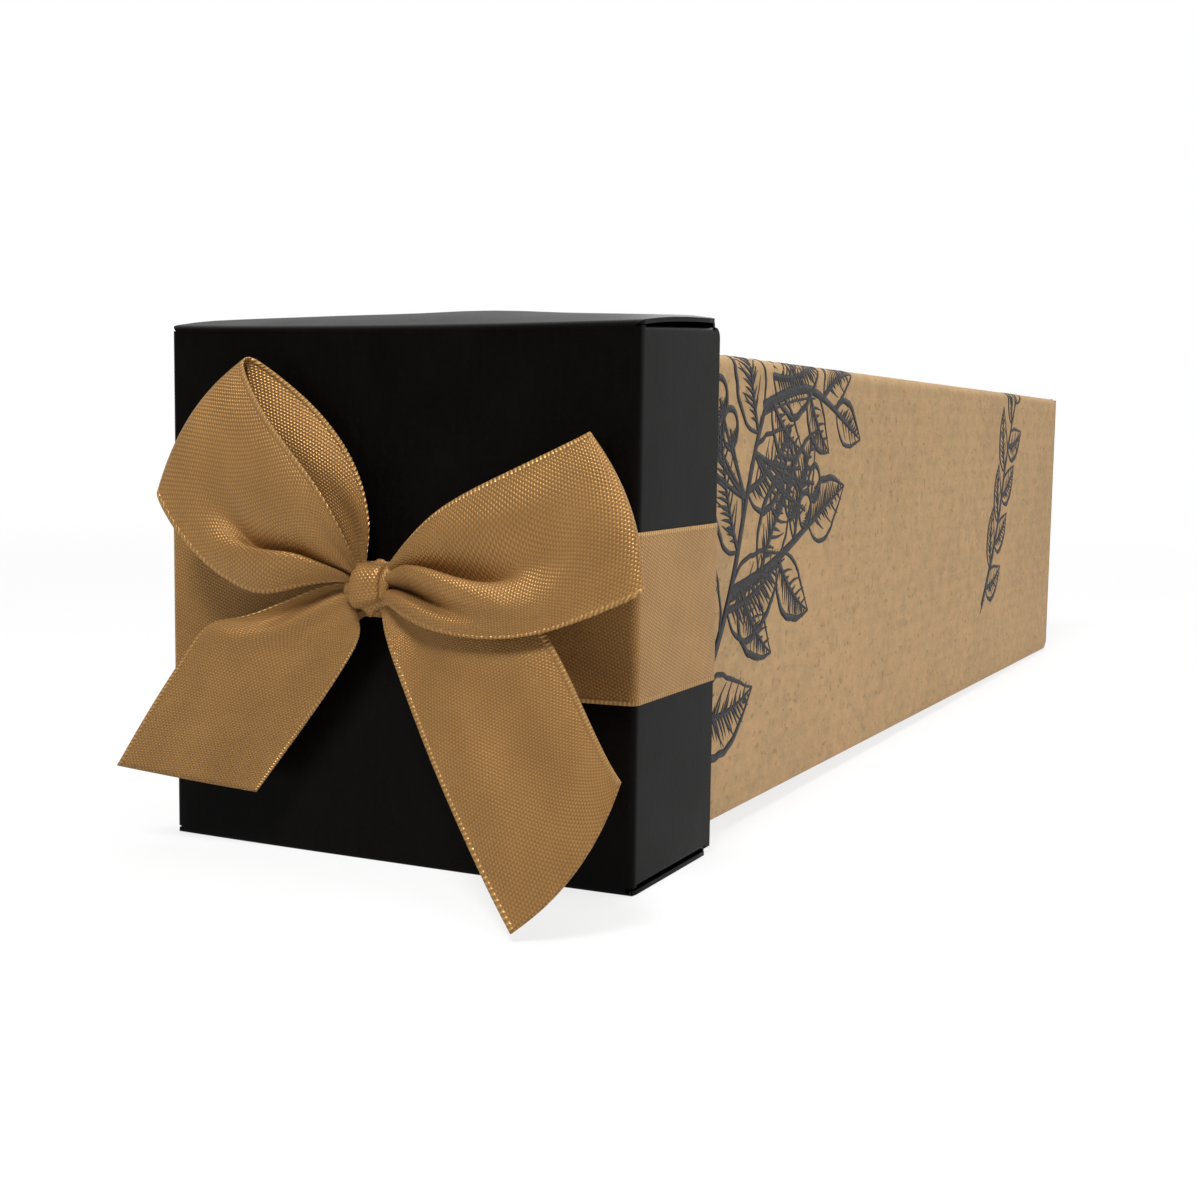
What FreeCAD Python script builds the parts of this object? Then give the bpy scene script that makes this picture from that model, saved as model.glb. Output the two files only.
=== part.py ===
"""A folding gift box for one wine bottle, lying on its side with its lid towards -Y.

A square kraft carton, folded from one sheet, slides into a black lid. Its far end is closed by a
tuck flap with two dust flaps. The lid is a folded tray with rolled walls above and below, and it
carries a satin band and a tied bow. The lid lies flat on the surface, and the carton droops a
little inside it, so that its far end rests on the same surface.

The frame: +Z is up, +Y runs from the lid to the carton's far end, and the origin is the middle of
the face that the lid lies on. Sizes are in millimetres and angles in degrees.
"""

import FreeCAD, Part
import math
import os

import Sketcher
from FreeCAD import Placement, Rotation, Vector

SIZES = (
    ("lid_depth", 31.0, "lid, outside depth along the box"),
    ("lid_board", 0.7, "thickness of the black board"),
    ("lid_slit", 0.4, "gap between a rolled wall and the side wall's crease"),
    ("lid_roll_inset", 1.0, "how far a rolled layer stops short of the end panel"),
    ("lid_roll_play", 0.2, "gap between a rolled layer and the side walls"),
    ("lid_corner_round", 1.8, "radius of a side wall's corners at the rim"),
    ("corner_flap_reach", 28.0, "length of a corner flap from the side wall"),
    ("corner_flap_taper", 4.0, "how much a corner flap narrows on each edge"),
    ("corner_flap_play", 0.5, "gap between a corner flap and the rim"),
    ("carton_width", 80.0, "carton, outside width and height"),
    ("carton_length", 327.0, "carton, outside length"),
    ("carton_board", 1.5, "thickness of the kraft board"),
    ("mouth_gap", 0.3, "gap between the carton's mouth and the lid's end panel"),
    ("rest_gap", 0.3, "gap between the carton and the rolled layer under it"),
    ("lid_play", 0.7, "gap between the carton and the rolled layer above it"),
    ("crease_gap", 0.3, "opening left at a crease that folds"),
    ("glue_tab_width", 12.0, "width of the glued seam tab"),
    ("glue_tab_taper", 8.0, "length of the tab's slanted ends"),
    ("glue_tab_stop", 26.0, "distance from the far end to the tab's end"),
    ("dust_parting", 8.0, "gap between the free edges of the two dust flaps"),
    ("dust_taper", 32.0, "slant of a dust flap's upper edge"),
    ("dust_top", 3.0, "distance from the carton's top to a dust flap at its crease"),
    ("dust_tongue_gap", 1.0, "gap between a dust flap and the tuck tongue under it"),
    ("dust_shoulder", 7.0, "cut across a dust flap's lower free corner"),
    ("dust_round", 4.0, "radius of a dust flap's free corners"),
    ("tongue_length", 18.0, "length of the tuck tongue"),
    ("tongue_lean", 12.0, "angle between the tuck tongue and the lower panel"),
    ("tongue_round", 6.0, "radius of the tuck tongue's corners"),
    ("tongue_play", 0.5, "gap on each side of the tuck tongue"),
    ("ribbon_width", 25.0, "width of the satin ribbon"),
    ("ribbon_thickness", 0.3, "thickness of the satin band"),
    ("bow_thickness", 0.4, "thickness of the bow's loops and tails"),
    ("band_drop", 0.5, "distance from the lid's middle down to the band's centre line"),
    ("band_wrap", 12.0, "length of band turned in behind the rim"),
    ("band_gather", 16.0, "distance from the lid's middle at which the band begins to narrow"),
    ("band_waist", 8.8, "height of the gathered band at the knot"),
    ("knot_rise", 2.2, "height of the knot's centre above the band's centre line"),
    ("knot_width", 6.8, "width of the ribbon wrapped round the knot"),
    ("knot_tall", 9.8, "height of the knot"),
    ("knot_deep", 7.2, "depth of the knot"),
    ("knot_wall", 0.9, "thickness of the wrapped turns"),
    ("knot_play", 0.15, "gap between the gathered ribbon and the turns round it"),
    ("knot_core_length", 8.0, "length of the gathered ribbon in the knot"),
    ("glue_dot_width", 8.0, "diameter of the glue dot behind the knot"),
    ("glue_dot_thickness", 1.2, "thickness of the glue dot"),
    ("bow_gap", 0.3, "gap between the knot and the roots of the bow's loops and tails"),
)

# The width of the ribbon that the bow's points below were measured on
BOW_RIBBON_WIDTH = 25.0

# Each station of a ribbon is the two ends of a line across it. An end is given as its distance
# from the ribbon's root at the knot: to the right, outwards from the lid, and upwards.
LEFT_LOOP = (
    ((0.0, 3.1, 3.8), (0.0, 1.3, -0.9)),
    ((1.3, 6.4, 9.0), (-7.2, 3.4, -0.5)),
    ((-0.2, 7.9, 14.5), (-14.7, 4.4, -1.7)),
    ((-6.2, 6.9, 21.0), (-23.2, 5.9, 2.3)),
    ((-13.2, 5.4, 27.5), (-29.7, 6.7, 9.3)),
    ((-16.7, 3.9, 33.0), (-31.5, 7.4, 12.6)),
    ((-18.7, 1.9, 35.3), (-32.7, 6.4, 14.6)),
    ((-17.2, -0.1, 34.3), (-31.2, 4.4, 13.5)),
    ((-11.7, -1.6, 31.3), (-25.2, 2.4, 10.3)),
    ((-6.7, -2.4, 27.3), (-19.7, 0.9, 6.3)),
    ((-2.2, -2.4, 21.8), (-14.7, -0.6, 2.3)),
    ((-0.7, -2.2, 13.5), (-7.2, -1.8, 0.0)),
    ((0.0, -2.0, 3.5), (0.0, -2.4, -1.1)),
)
RIGHT_LOOP = (
    ((0.0, 1.9, 3.8), (0.0, 2.9, -1.1)),
    ((3.2, 2.1, 7.8), (9.7, 7.2, -4.2)),
    ((7.7, 2.1, 12.3), (18.7, 9.2, -5.2)),
    ((14.7, 2.5, 15.8), (27.7, 9.2, -4.2)),
    ((23.7, 3.4, 19.8), (35.2, 8.4, -1.7)),
    ((32.2, 3.9, 23.7), (42.3, 7.3, 1.2)),
    ((34.3, 3.5, 24.6), (44.5, 6.6, 2.1)),
    ((34.6, 1.9, 24.6), (44.6, 4.7, 2.3)),
    ((32.6, 1.0, 23.7), (42.5, 3.4, 1.9)),
    ((26.7, -0.1, 21.3), (36.7, 1.9, 0.3)),
    ((17.7, -0.6, 18.3), (27.7, 0.9, -2.2)),
    ((9.2, -1.1, 13.8), (18.7, -0.1, -3.2)),
    ((3.2, -1.5, 8.3), (9.2, -1.1, -2.7)),
    ((0.0, -1.9, 3.3), (0.0, -2.1, -1.3)),
)
LEFT_TAIL = (
    ((0.0, 0.5, -2.6), (0.9, 0.2, -5.6)),
    ((-5.7, 1.2, -3.2), (2.3, 0.4, -8.0)),
    ((-16.2, 4.7, -5.7), (2.0, 0.7, -10.2)),
    ((-23.2, 7.4, -9.2), (-0.2, 0.1, -12.0)),
    ((-27.2, 7.7, -13.7), (-3.7, -0.1, -16.7)),
    ((-34.7, 6.9, -22.2), (-10.9, 0.3, -25.2)),
    ((-42.7, 5.1, -31.7), (-17.1, 0.9, -34.2)),
)
RIGHT_TAIL = (
    ((0.5, 0.9, -0.8), (4.8, 1.5, 0.0)),
    ((3.0, 2.7, -2.8), (12.0, 2.7, -1.0)),
    ((6.5, 4.3, -5.0), (21.0, 4.1, -3.0)),
    ((11.5, 7.7, -9.5), (33.8, 6.7, -3.0)),
    ((17.6, 12.1, -16.5), (41.5, 10.1, -8.8)),
    ((25.2, 16.4, -25.0), (46.8, 14.3, -13.3)),
    ((31.2, 19.9, -32.5), (49.4, 16.7, -15.0)),
    ((37.6, 23.1, -37.8), (51.8, 18.7, -16.5)),
)

doc = FreeCAD.newDocument("folding_bottle_box")
sheet = doc.addObject("Spreadsheet::Sheet", "sizes")
for row, (alias, number, note) in enumerate(SIZES, start=1):
    sheet.set(f"A{row}", note)
    sheet.set(f"B{row}", str(number))
    sheet.setAlias(f"B{row}", alias)
doc.recompute()

parts = []


def size(alias):
    return float(sheet.get(alias))


# Derived sizes

lid_stack = 3 * size("lid_board") + size("lid_slit")
lid_width = size("carton_width") + 2 * lid_stack + size("rest_gap") + size("lid_play")
knot_height = lid_width / 2 - size("band_drop") + size("knot_rise")
knot_out = size("ribbon_thickness") + size("glue_dot_thickness") + size("knot_deep") / 2
carton_inside_lid = size("lid_depth") - size("lid_board") - size("mouth_gap")
carton_in_view = size("carton_length") - carton_inside_lid
carton_lift = lid_stack + size("rest_gap")
carton_droop = math.asin(carton_lift / carton_in_view)
carton_placement = Placement(
    Vector(
        0,
        size("lid_depth") / 2 - carton_inside_lid * math.cos(carton_droop),
        carton_lift + carton_inside_lid * math.sin(carton_droop),
    ),
    Rotation(Vector(1, 0, 0), -math.degrees(carton_droop)),
)
lid_placement = Placement()

# Expressions that several sketches share

LID_STACK = "(3 * sizes.lid_board + sizes.lid_slit)"
LID_WIDTH = f"(sizes.carton_width + 2 * {LID_STACK} + sizes.rest_gap + sizes.lid_play)"
LID_HALF = f"{LID_WIDTH} / 2"
LID_FRONT = "-sizes.lid_depth / 2"
LID_RIM = "sizes.lid_depth / 2"
CARTON_HALF = "sizes.carton_width / 2"
CARTON_INNER = "(sizes.carton_width / 2 - sizes.carton_board)"
DUST_REACH = "(sizes.carton_width - sizes.dust_parting) / 2"
DUST_FACE = "(sizes.carton_length - sizes.carton_board - sizes.crease_gap)"
TONGUE_ROOT = "(sizes.carton_board + sizes.crease_gap)"
LEAN = "sizes.tongue_lean * 1deg"
TONGUE_MITRE = f"sizes.carton_board * (1 + sin({LEAN})) / cos({LEAN})"
DUST_DEPTH = "(2 * sizes.carton_board + sizes.crease_gap)"
TONGUE_TOP = f"({TONGUE_ROOT} + {DUST_DEPTH} * tan({LEAN}) + sizes.carton_board / cos({LEAN}))"
DUST_BOTTOM = f"({TONGUE_TOP} + sizes.dust_tongue_gap)"
BAND_HEIGHT = f"({LID_HALF} - sizes.band_drop)"


def new_body(label, placement):
    body = doc.addObject("PartDesign::Body", label)
    body.Label = label
    body.Placement = placement
    parts.append(body)
    return body


def new_sketch(body, plane, start="0"):
    """A sketch on one of the body's own planes, moved along +X, +Y or +Z by start."""
    role = plane + "_Plane"
    sketch = body.newObject("Sketcher::SketchObject", body.Name + "_sketch")
    sketch.AttachmentSupport = [(next(f for f in body.Origin.OriginFeatures if f.Role == role), "")]
    sketch.MapMode = "FlatFace"
    sign = "-" if plane == "XZ" else ""
    sketch.setExpression("AttachmentOffset.Base.z", f"{sign}({start})")
    return sketch


def pin(sketch, geometry, point, corner):
    """Holds a point of the sketch at a pair of expressions."""
    for kind, expression in zip(("DistanceX", "DistanceY"), corner):
        here = float(sketch.evalExpression(expression))
        index = sketch.addConstraint(Sketcher.Constraint(kind, -1, 1, geometry, point, here))
        sketch.setExpression(f"Constraints[{index}]", expression)


def draw_outline(sketch, corners):
    """A closed outline of straight lines, where each corner is a pair of expressions."""
    points = [Vector(*(float(sketch.evalExpression(e)) for e in corner)) for corner in corners]
    count = len(corners)
    for i in range(count):
        sketch.addGeometry(Part.LineSegment(points[i], points[(i + 1) % count]))
    for i in range(count):
        sketch.addConstraint(Sketcher.Constraint("Coincident", i, 2, (i + 1) % count, 1))
    for i, corner in enumerate(corners):
        pin(sketch, i, 1, corner)


def draw_stadium(sketch, centre, radius, straight):
    """Two half circles joined by straight sides that run along the sketch's second axis."""
    y, z = (float(sketch.evalExpression(e)) for e in centre)
    r = float(sketch.evalExpression(radius))
    half = float(sketch.evalExpression(straight)) / 2
    top = Part.Circle(Vector(y, z + half), Vector(0, 0, 1), r)
    bottom = Part.Circle(Vector(y, z - half), Vector(0, 0, 1), r)
    arc_top = sketch.addGeometry(Part.ArcOfCircle(top, 0, math.pi))
    arc_bottom = sketch.addGeometry(Part.ArcOfCircle(bottom, math.pi, 2 * math.pi))
    left = sketch.addGeometry(Part.LineSegment(Vector(y - r, z + half), Vector(y - r, z - half)))
    right = sketch.addGeometry(Part.LineSegment(Vector(y + r, z - half), Vector(y + r, z + half)))
    outline = (arc_top, left, arc_bottom, right)
    for curve, following in zip(outline, outline[1:] + outline[:1]):
        sketch.addConstraint(Sketcher.Constraint("Tangent", curve, 2, following, 1))
    for arc, sign in ((arc_top, "+"), (arc_bottom, "-")):
        pin(sketch, arc, 3, (centre[0], f"{centre[1]} {sign} ({straight}) / 2"))
        index = sketch.addConstraint(Sketcher.Constraint("Radius", arc, r))
        sketch.setExpression(f"Constraints[{index}]", radius)


def pad(body, sketch, thickness):
    """Pads the sketch along +X, +Y or +Z."""
    feature = body.newObject("PartDesign::Pad", body.Name + "_pad")
    feature.Profile = sketch
    feature.setExpression("Length", thickness)
    feature.Reversed = "XZ" in sketch.AttachmentSupport[0][0].Role
    sketch.Visibility = False
    doc.recompute()
    return feature


def plate(label, plane, corners, start, thickness, placement):
    """A piece of board: a straight-sided outline on a plane, padded along the plane's axis."""
    body = new_body(label, placement)
    sketch = new_sketch(body, plane, start)
    draw_outline(sketch, corners)
    pad(body, sketch, thickness)
    return body


def round_corners(body, radius, chosen):
    """Rounds the edges whose middle passes the test."""
    base = body.Tip
    names = [
        f"Edge{i}"
        for i, edge in enumerate(base.Shape.Edges, start=1)
        if chosen(edge.valueAt((edge.FirstParameter + edge.LastParameter) / 2), edge)
    ]
    feature = body.newObject("PartDesign::Fillet", body.Name + "_round")
    feature.Base = (base, names)
    feature.setExpression("Radius", radius)
    doc.recompute()
    return feature


def runs_along(edge, axis):
    ends = [v.Point for v in edge.Vertexes]
    return len(ends) == 2 and abs((ends[1] - ends[0]).normalize().dot(axis)) > 0.999


# The carton, in its own frame: +Y from its mouth to its far end, Z = 0 at its underside


def carton_panels():
    """The four panels of the tube, with 45 degree creases where the far flaps fold."""
    upper_end = "sizes.carton_length - sizes.crease_gap"
    plate(
        "carton_upper_panel",
        "YZ",
        (
            ("0", "sizes.carton_width - sizes.carton_board"),
            (f"{upper_end} - sizes.carton_board", "sizes.carton_width - sizes.carton_board"),
            (upper_end, "sizes.carton_width"),
            ("0", "sizes.carton_width"),
        ),
        f"-{CARTON_HALF}",
        "sizes.carton_width",
        carton_placement,
    )
    plate(
        "carton_lower_panel",
        "XY",
        (
            (f"-{CARTON_HALF}", "0"),
            (CARTON_HALF, "0"),
            (CARTON_HALF, "sizes.carton_length"),
            (f"-{CARTON_HALF}", "sizes.carton_length"),
        ),
        "0",
        "sizes.carton_board",
        carton_placement,
    )
    side_end = f"{DUST_FACE} - sizes.crease_gap"
    for side, sign in (("right", "1"), ("left", "-1")):
        plate(
            f"carton_{side}_panel",
            "XY",
            (
                (f"{sign} * {CARTON_INNER}", "0"),
                (f"{sign} * {CARTON_HALF}", "0"),
                (f"{sign} * {CARTON_HALF}", side_end),
                (f"{sign} * {CARTON_INNER}", f"{side_end} - sizes.carton_board"),
            ),
            "sizes.carton_board",
            "sizes.carton_width - 2 * sizes.carton_board",
            carton_placement,
        )


def glue_tab():
    """The seam tab of the left panel, glued to the inside of the lower panel."""
    tab_edge = f"-{CARTON_INNER} + sizes.glue_tab_width"
    tab_end = "sizes.carton_length - sizes.glue_tab_stop"
    plate(
        "glue_tab",
        "XY",
        (
            (f"-{CARTON_INNER}", "0"),
            (tab_edge, "sizes.glue_tab_taper"),
            (tab_edge, f"{tab_end} - sizes.glue_tab_taper"),
            (f"-{CARTON_INNER}", tab_end),
        ),
        "sizes.carton_board",
        "sizes.carton_board",
        carton_placement,
    )


def bottom_flap():
    """The panel that closes the far end. It hangs from the upper panel's crease."""
    plate(
        "bottom_flap",
        "YZ",
        (
            ("sizes.carton_length", "sizes.carton_width"),
            ("sizes.carton_length", TONGUE_ROOT),
            ("sizes.carton_length - sizes.carton_board", f"{TONGUE_ROOT} + {TONGUE_MITRE}"),
            (
                "sizes.carton_length - sizes.carton_board",
                "sizes.carton_width - sizes.carton_board",
            ),
        ),
        f"-{CARTON_HALF} + sizes.crease_gap",
        "sizes.carton_width - 2 * sizes.crease_gap",
        carton_placement,
    )


def tuck_tongue():
    """The tongue that tucks in above the lower panel. It leans a little away from it."""
    gap_y = f"sizes.crease_gap * cos({LEAN})"
    gap_z = f"sizes.crease_gap * sin({LEAN})"
    tip_y = f"sizes.carton_length - sizes.tongue_length * cos({LEAN})"
    tip_z = f"{TONGUE_ROOT} + sizes.tongue_length * sin({LEAN})"
    body = plate(
        "tuck_tongue",
        "YZ",
        (
            (f"sizes.carton_length - {gap_y}", f"{TONGUE_ROOT} + {gap_z}"),
            (
                f"sizes.carton_length - sizes.carton_board - {gap_y}",
                f"{TONGUE_ROOT} + {TONGUE_MITRE} + {gap_z}",
            ),
            (
                f"{tip_y} + sizes.carton_board * sin({LEAN})",
                f"{tip_z} + sizes.carton_board * cos({LEAN})",
            ),
            (tip_y, tip_z),
        ),
        f"-{CARTON_INNER} + sizes.tongue_play",
        f"2 * {CARTON_INNER} - 2 * sizes.tongue_play",
        carton_placement,
    )
    tip = size("carton_length") - 0.6 * size("tongue_length")
    lean = math.radians(size("tongue_lean"))
    across = Vector(0, math.sin(lean), math.cos(lean))
    round_corners(body, "sizes.tongue_round", lambda p, e: p.y < tip and runs_along(e, across))


def dust_flaps():
    """The two small flaps behind the bottom flap, each cut back so that it clears that flap."""
    for side, sign in (("right", "1"), ("left", "-1")):
        free = f"{sign} * sizes.dust_parting / 2"
        shoulder = f"{sign} * (sizes.dust_parting / 2 + sizes.dust_shoulder)"
        top = "sizes.carton_width - sizes.dust_top"
        body = plate(
            f"dust_flap_{side}",
            "XZ",
            (
                (f"{sign} * {CARTON_HALF}", DUST_BOTTOM),
                (f"{sign} * {CARTON_HALF}", top),
                (free, f"{top} - {DUST_REACH} * tan(sizes.dust_taper * 1deg)"),
                (free, f"{DUST_BOTTOM} + sizes.dust_shoulder"),
                (shoulder, DUST_BOTTOM),
            ),
            f"{DUST_FACE} - sizes.carton_board",
            "sizes.carton_board",
            carton_placement,
        )
        whole = body.Shape.Volume
        crease = new_sketch(body, "XY")
        draw_outline(
            crease,
            (
                (f"{sign} * {CARTON_HALF}", DUST_FACE),
                (f"{sign} * {CARTON_HALF}", f"{DUST_FACE} - sizes.carton_board"),
                (f"{sign} * {CARTON_INNER}", f"{DUST_FACE} - sizes.carton_board"),
            ),
        )
        mitre = body.newObject("PartDesign::Pocket", body.Name + "_mitre")
        mitre.Profile = crease
        mitre.Reversed = True
        mitre.setExpression("Length", "sizes.carton_width")
        doc.recompute()
        if not body.Shape.Volume < whole:
            raise RuntimeError(f"the crease of {body.Label} wasn't cut")
        free_edge = size("dust_parting") / 2
        round_corners(
            body,
            "sizes.dust_round",
            lambda p, e: abs(abs(p.x) - free_edge) < 0.01 and runs_along(e, Vector(0, 1, 0)),
        )


# The lid: a tray folded from one sheet, open towards +Y


def lid_end_panel():
    plate(
        "lid_end_panel",
        "XZ",
        (
            (f"-{LID_HALF}", "0"),
            (LID_HALF, "0"),
            (LID_HALF, LID_WIDTH),
            (f"-{LID_HALF}", LID_WIDTH),
        ),
        LID_FRONT,
        "sizes.lid_board",
        lid_placement,
    )


def lid_rolled_walls():
    """The upper and lower walls, and the layer of each that is rolled over the rim and back."""
    wall_corners = (
        (f"-{LID_HALF}", f"{LID_FRONT} + sizes.lid_board"),
        (LID_HALF, f"{LID_FRONT} + sizes.lid_board"),
        (LID_HALF, LID_RIM),
        (f"-{LID_HALF}", LID_RIM),
    )
    roll_start = f"{LID_FRONT} + sizes.lid_board + sizes.lid_roll_inset"
    hem = f"{LID_RIM} - sizes.lid_board"
    for side, outside, inward in (("upper", LID_WIDTH, "-1"), ("lower", "0", "1")):
        low = f"{outside} - sizes.lid_board" if side == "upper" else outside
        plate(f"lid_{side}_wall", "XY", wall_corners, low, "sizes.lid_board", lid_placement)
        under_wall = f"{outside} + {inward} * sizes.lid_board"
        under_flap = f"{outside} + {inward} * (2 * sizes.lid_board + sizes.lid_slit)"
        inner = f"{outside} + {inward} * (3 * sizes.lid_board + sizes.lid_slit)"
        plate(
            f"lid_{side}_roll",
            "YZ",
            (
                (roll_start, inner),
                (LID_RIM, inner),
                (LID_RIM, under_wall),
                (hem, under_wall),
                (hem, under_flap),
                (roll_start, under_flap),
            ),
            f"-{LID_HALF} + sizes.lid_board + sizes.lid_roll_play",
            f"{LID_WIDTH} - 2 * sizes.lid_board - 2 * sizes.lid_roll_play",
            lid_placement,
        )


def lid_side_walls():
    """The left and right walls, each with a corner flap folded in at its top and bottom."""
    low = "(sizes.lid_board + sizes.lid_slit)"
    high = f"({LID_WIDTH} - {low})"
    rim = size("lid_depth") / 2
    flap_start = f"{LID_FRONT} + sizes.lid_board"
    flap_end = f"{LID_RIM} - sizes.lid_board - sizes.corner_flap_play"
    for side, sign in (("right", "1"), ("left", "-1")):
        outer_left = f"-{LID_HALF}" if side == "left" else f"{LID_HALF} - sizes.lid_board"
        wall = plate(
            f"lid_{side}_wall",
            "YZ",
            ((flap_start, low), (LID_RIM, low), (LID_RIM, high), (flap_start, high)),
            outer_left,
            "sizes.lid_board",
            lid_placement,
        )
        round_corners(
            wall,
            "sizes.lid_corner_round",
            lambda p, e: abs(p.y - rim) < 0.01 and runs_along(e, Vector(1, 0, 0)),
        )
        root = f"{sign} * ({LID_HALF} - sizes.lid_board)"
        tip = f"{sign} * ({LID_HALF} - sizes.corner_flap_reach)"
        for height, bottom in (("upper", f"{high} - sizes.lid_board"), ("lower", low)):
            plate(
                f"corner_flap_{height}_{side}",
                "XY",
                (
                    (root, flap_start),
                    (tip, f"{flap_start} + sizes.corner_flap_taper"),
                    (tip, f"{flap_end} - sizes.corner_flap_taper"),
                    (root, flap_end),
                ),
                bottom,
                "sizes.lid_board",
                lid_placement,
            )


# The ribbon


def notch(body, start, corners, depth):
    """Cuts an outline on the XZ plane out of the body, along +Y."""
    sketch = new_sketch(body, "XZ", start)
    draw_outline(sketch, corners)
    feature = body.newObject("PartDesign::Pocket", body.Name + "_notch")
    feature.Profile = sketch
    feature.setExpression("Length", depth)
    sketch.Visibility = False
    doc.recompute()


def ribbon_band():
    """The band across the lid's end, along both side walls and turned in behind the rim. It is
    gathered at the knot, so it narrows there from above and from below."""
    body = new_body("ribbon_band", lid_placement)
    sketch = new_sketch(body, "XY", f"{BAND_HEIGHT} - sizes.ribbon_width / 2")
    inside = f"{LID_HALF} - sizes.lid_board"
    lined = f"{inside} - sizes.ribbon_thickness"
    outside = f"{LID_HALF} + sizes.ribbon_thickness"
    turned_in = f"{LID_RIM} - sizes.band_wrap"
    right = (
        (LID_HALF, LID_FRONT),
        (LID_HALF, LID_RIM),
        (inside, LID_RIM),
        (inside, turned_in),
        (lined, turned_in),
        (lined, f"{LID_RIM} + sizes.ribbon_thickness"),
        (outside, f"{LID_RIM} + sizes.ribbon_thickness"),
        (outside, f"{LID_FRONT} - sizes.ribbon_thickness"),
    )
    left = [(f"-({x})", y) for x, y in reversed(right)]
    draw_outline(sketch, (*right, *left))
    pad(body, sketch, "sizes.ribbon_width")
    wide, tight = "sizes.band_gather", "sizes.knot_width / 2"
    for side in ("+", "-"):
        edge = f"{BAND_HEIGHT} {side} sizes.ribbon_width / 2"
        waist = f"{BAND_HEIGHT} + sizes.knot_rise {side} sizes.band_waist / 2"
        beyond = f"{edge} {side} 2 * sizes.ribbon_thickness"
        corners = (
            (f"-{wide}", beyond),
            (f"-{wide}", edge),
            (f"-{tight}", waist),
            (tight, waist),
            (wide, edge),
            (wide, beyond),
        )
        notch(body, f"{LID_FRONT} - 2 * sizes.ribbon_thickness", corners, "3 * sizes.ribbon_thickness")


KNOT_CENTRE = (
    f"{LID_FRONT} - sizes.ribbon_thickness - sizes.glue_dot_thickness - sizes.knot_deep / 2",
    f"{BAND_HEIGHT} + sizes.knot_rise",
)


def knot():
    """The gathered ribbon, the turns wrapped round it, and the glue dot that holds them."""
    straight = "sizes.knot_tall - sizes.knot_deep"
    core_radius = "sizes.knot_deep / 2 - sizes.knot_wall - sizes.knot_play"
    wrap = new_body("knot_wrap", lid_placement)
    turns = new_sketch(wrap, "YZ", "-sizes.knot_width / 2")
    draw_stadium(turns, KNOT_CENTRE, "sizes.knot_deep / 2", straight)
    draw_stadium(turns, KNOT_CENTRE, "sizes.knot_deep / 2 - sizes.knot_wall", straight)
    pad(wrap, turns, "sizes.knot_width")
    core = new_body("knot_core", lid_placement)
    gathered = new_sketch(core, "YZ", "-sizes.knot_core_length / 2")
    draw_stadium(gathered, KNOT_CENTRE, core_radius, straight)
    pad(core, gathered, "sizes.knot_core_length")
    dot = doc.addObject("Part::Cylinder", "glue_dot")
    dot.Label = "glue_dot"
    dot.setExpression("Radius", "sizes.glue_dot_width / 2")
    dot.setExpression("Height", "sizes.glue_dot_thickness")
    band_face = -size("lid_depth") / 2 - size("ribbon_thickness")
    dot.Placement = Placement(
        Vector(0, band_face, knot_height), Rotation(Vector(1, 0, 0), 90)
    )
    parts.append(dot)


def closed_strip(rings):
    """A solid with one ring of corners at each station and ruled faces between them."""
    forward = 1
    faces = [Part.Face(Part.makePolygon(ring + ring[:1])) for ring in (rings[0], rings[-1])]
    for here, there in zip(rings, rings[1:]):
        for corner, following in zip(range(4), (1, 2, 3, 0)):
            near = Part.makeLine(here[corner], here[following])
            far = Part.makeLine(there[corner], there[following])
            faces.append(Part.makeRuledSurface(near, far, forward))
    shell = Part.makeShell(faces)
    shell.sewShape()
    return Part.makeSolid(shell)


def ribbon_strip(label, stations, root):
    """A strip of ribbon through its stations, half its thickness to each side of them."""
    scale = size("ribbon_width") / BOW_RIBBON_WIDTH
    lines = [
        [root + Vector(right, -out, up) * scale for right, out, up in station] for station in stations
    ]
    middles = [(a + b) / 2 for a, b in lines]
    half = size("bow_thickness") / 2
    rings = []
    for i, (a, b) in enumerate(lines):
        along = middles[min(i + 1, len(lines) - 1)] - middles[max(i - 1, 0)]
        across = along.cross(b - a).normalize() * half
        rings.append([a + across, b + across, b - across, a - across])
    strip = doc.addObject("Part::Feature", label)
    strip.Label = label
    strip.Shape = closed_strip(rings)
    strip.Placement = lid_placement
    parts.append(strip)
    length = sum((b - a).Length for a, b in zip(middles, middles[1:]))
    print(f"{label}: {length:.1f} mm of ribbon along its middle")


def bow():
    """Two loops and one tail that start beside the knot, and one tail that starts under it."""
    centre = Vector(0, -size("lid_depth") / 2 - knot_out, knot_height)
    beside = Vector(size("knot_core_length") / 2 + size("bow_gap"), 0, 0)
    under = Vector(0, 0, -size("knot_tall") / 2 - size("bow_gap"))
    ribbon_strip("bow_left_loop", LEFT_LOOP, centre - beside)
    ribbon_strip("bow_right_loop", RIGHT_LOOP, centre + beside)
    ribbon_strip("bow_left_tail", LEFT_TAIL, centre - beside)
    ribbon_strip("bow_right_tail", RIGHT_TAIL, centre + under)


def check_and_export():
    doc.recompute()
    for item in doc.Objects:
        if "Invalid" in item.State or "Error" in item.State:
            raise RuntimeError(f"{item.Label} failed: {item.State}")
    os.makedirs("parts", exist_ok=True)
    for part in parts:
        shape = part.Shape
        if shape.isNull() or not shape.isValid() or shape.Volume <= 0:
            raise RuntimeError(f"{part.Label} has no valid solid")
    for part in parts:
        part.Shape.exportStep(f"parts/{part.Label}.step")
        print(f"{part.Label}: {len(part.Shape.Solids)} solid, {part.Shape.Volume:.1f} mm3")


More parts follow.
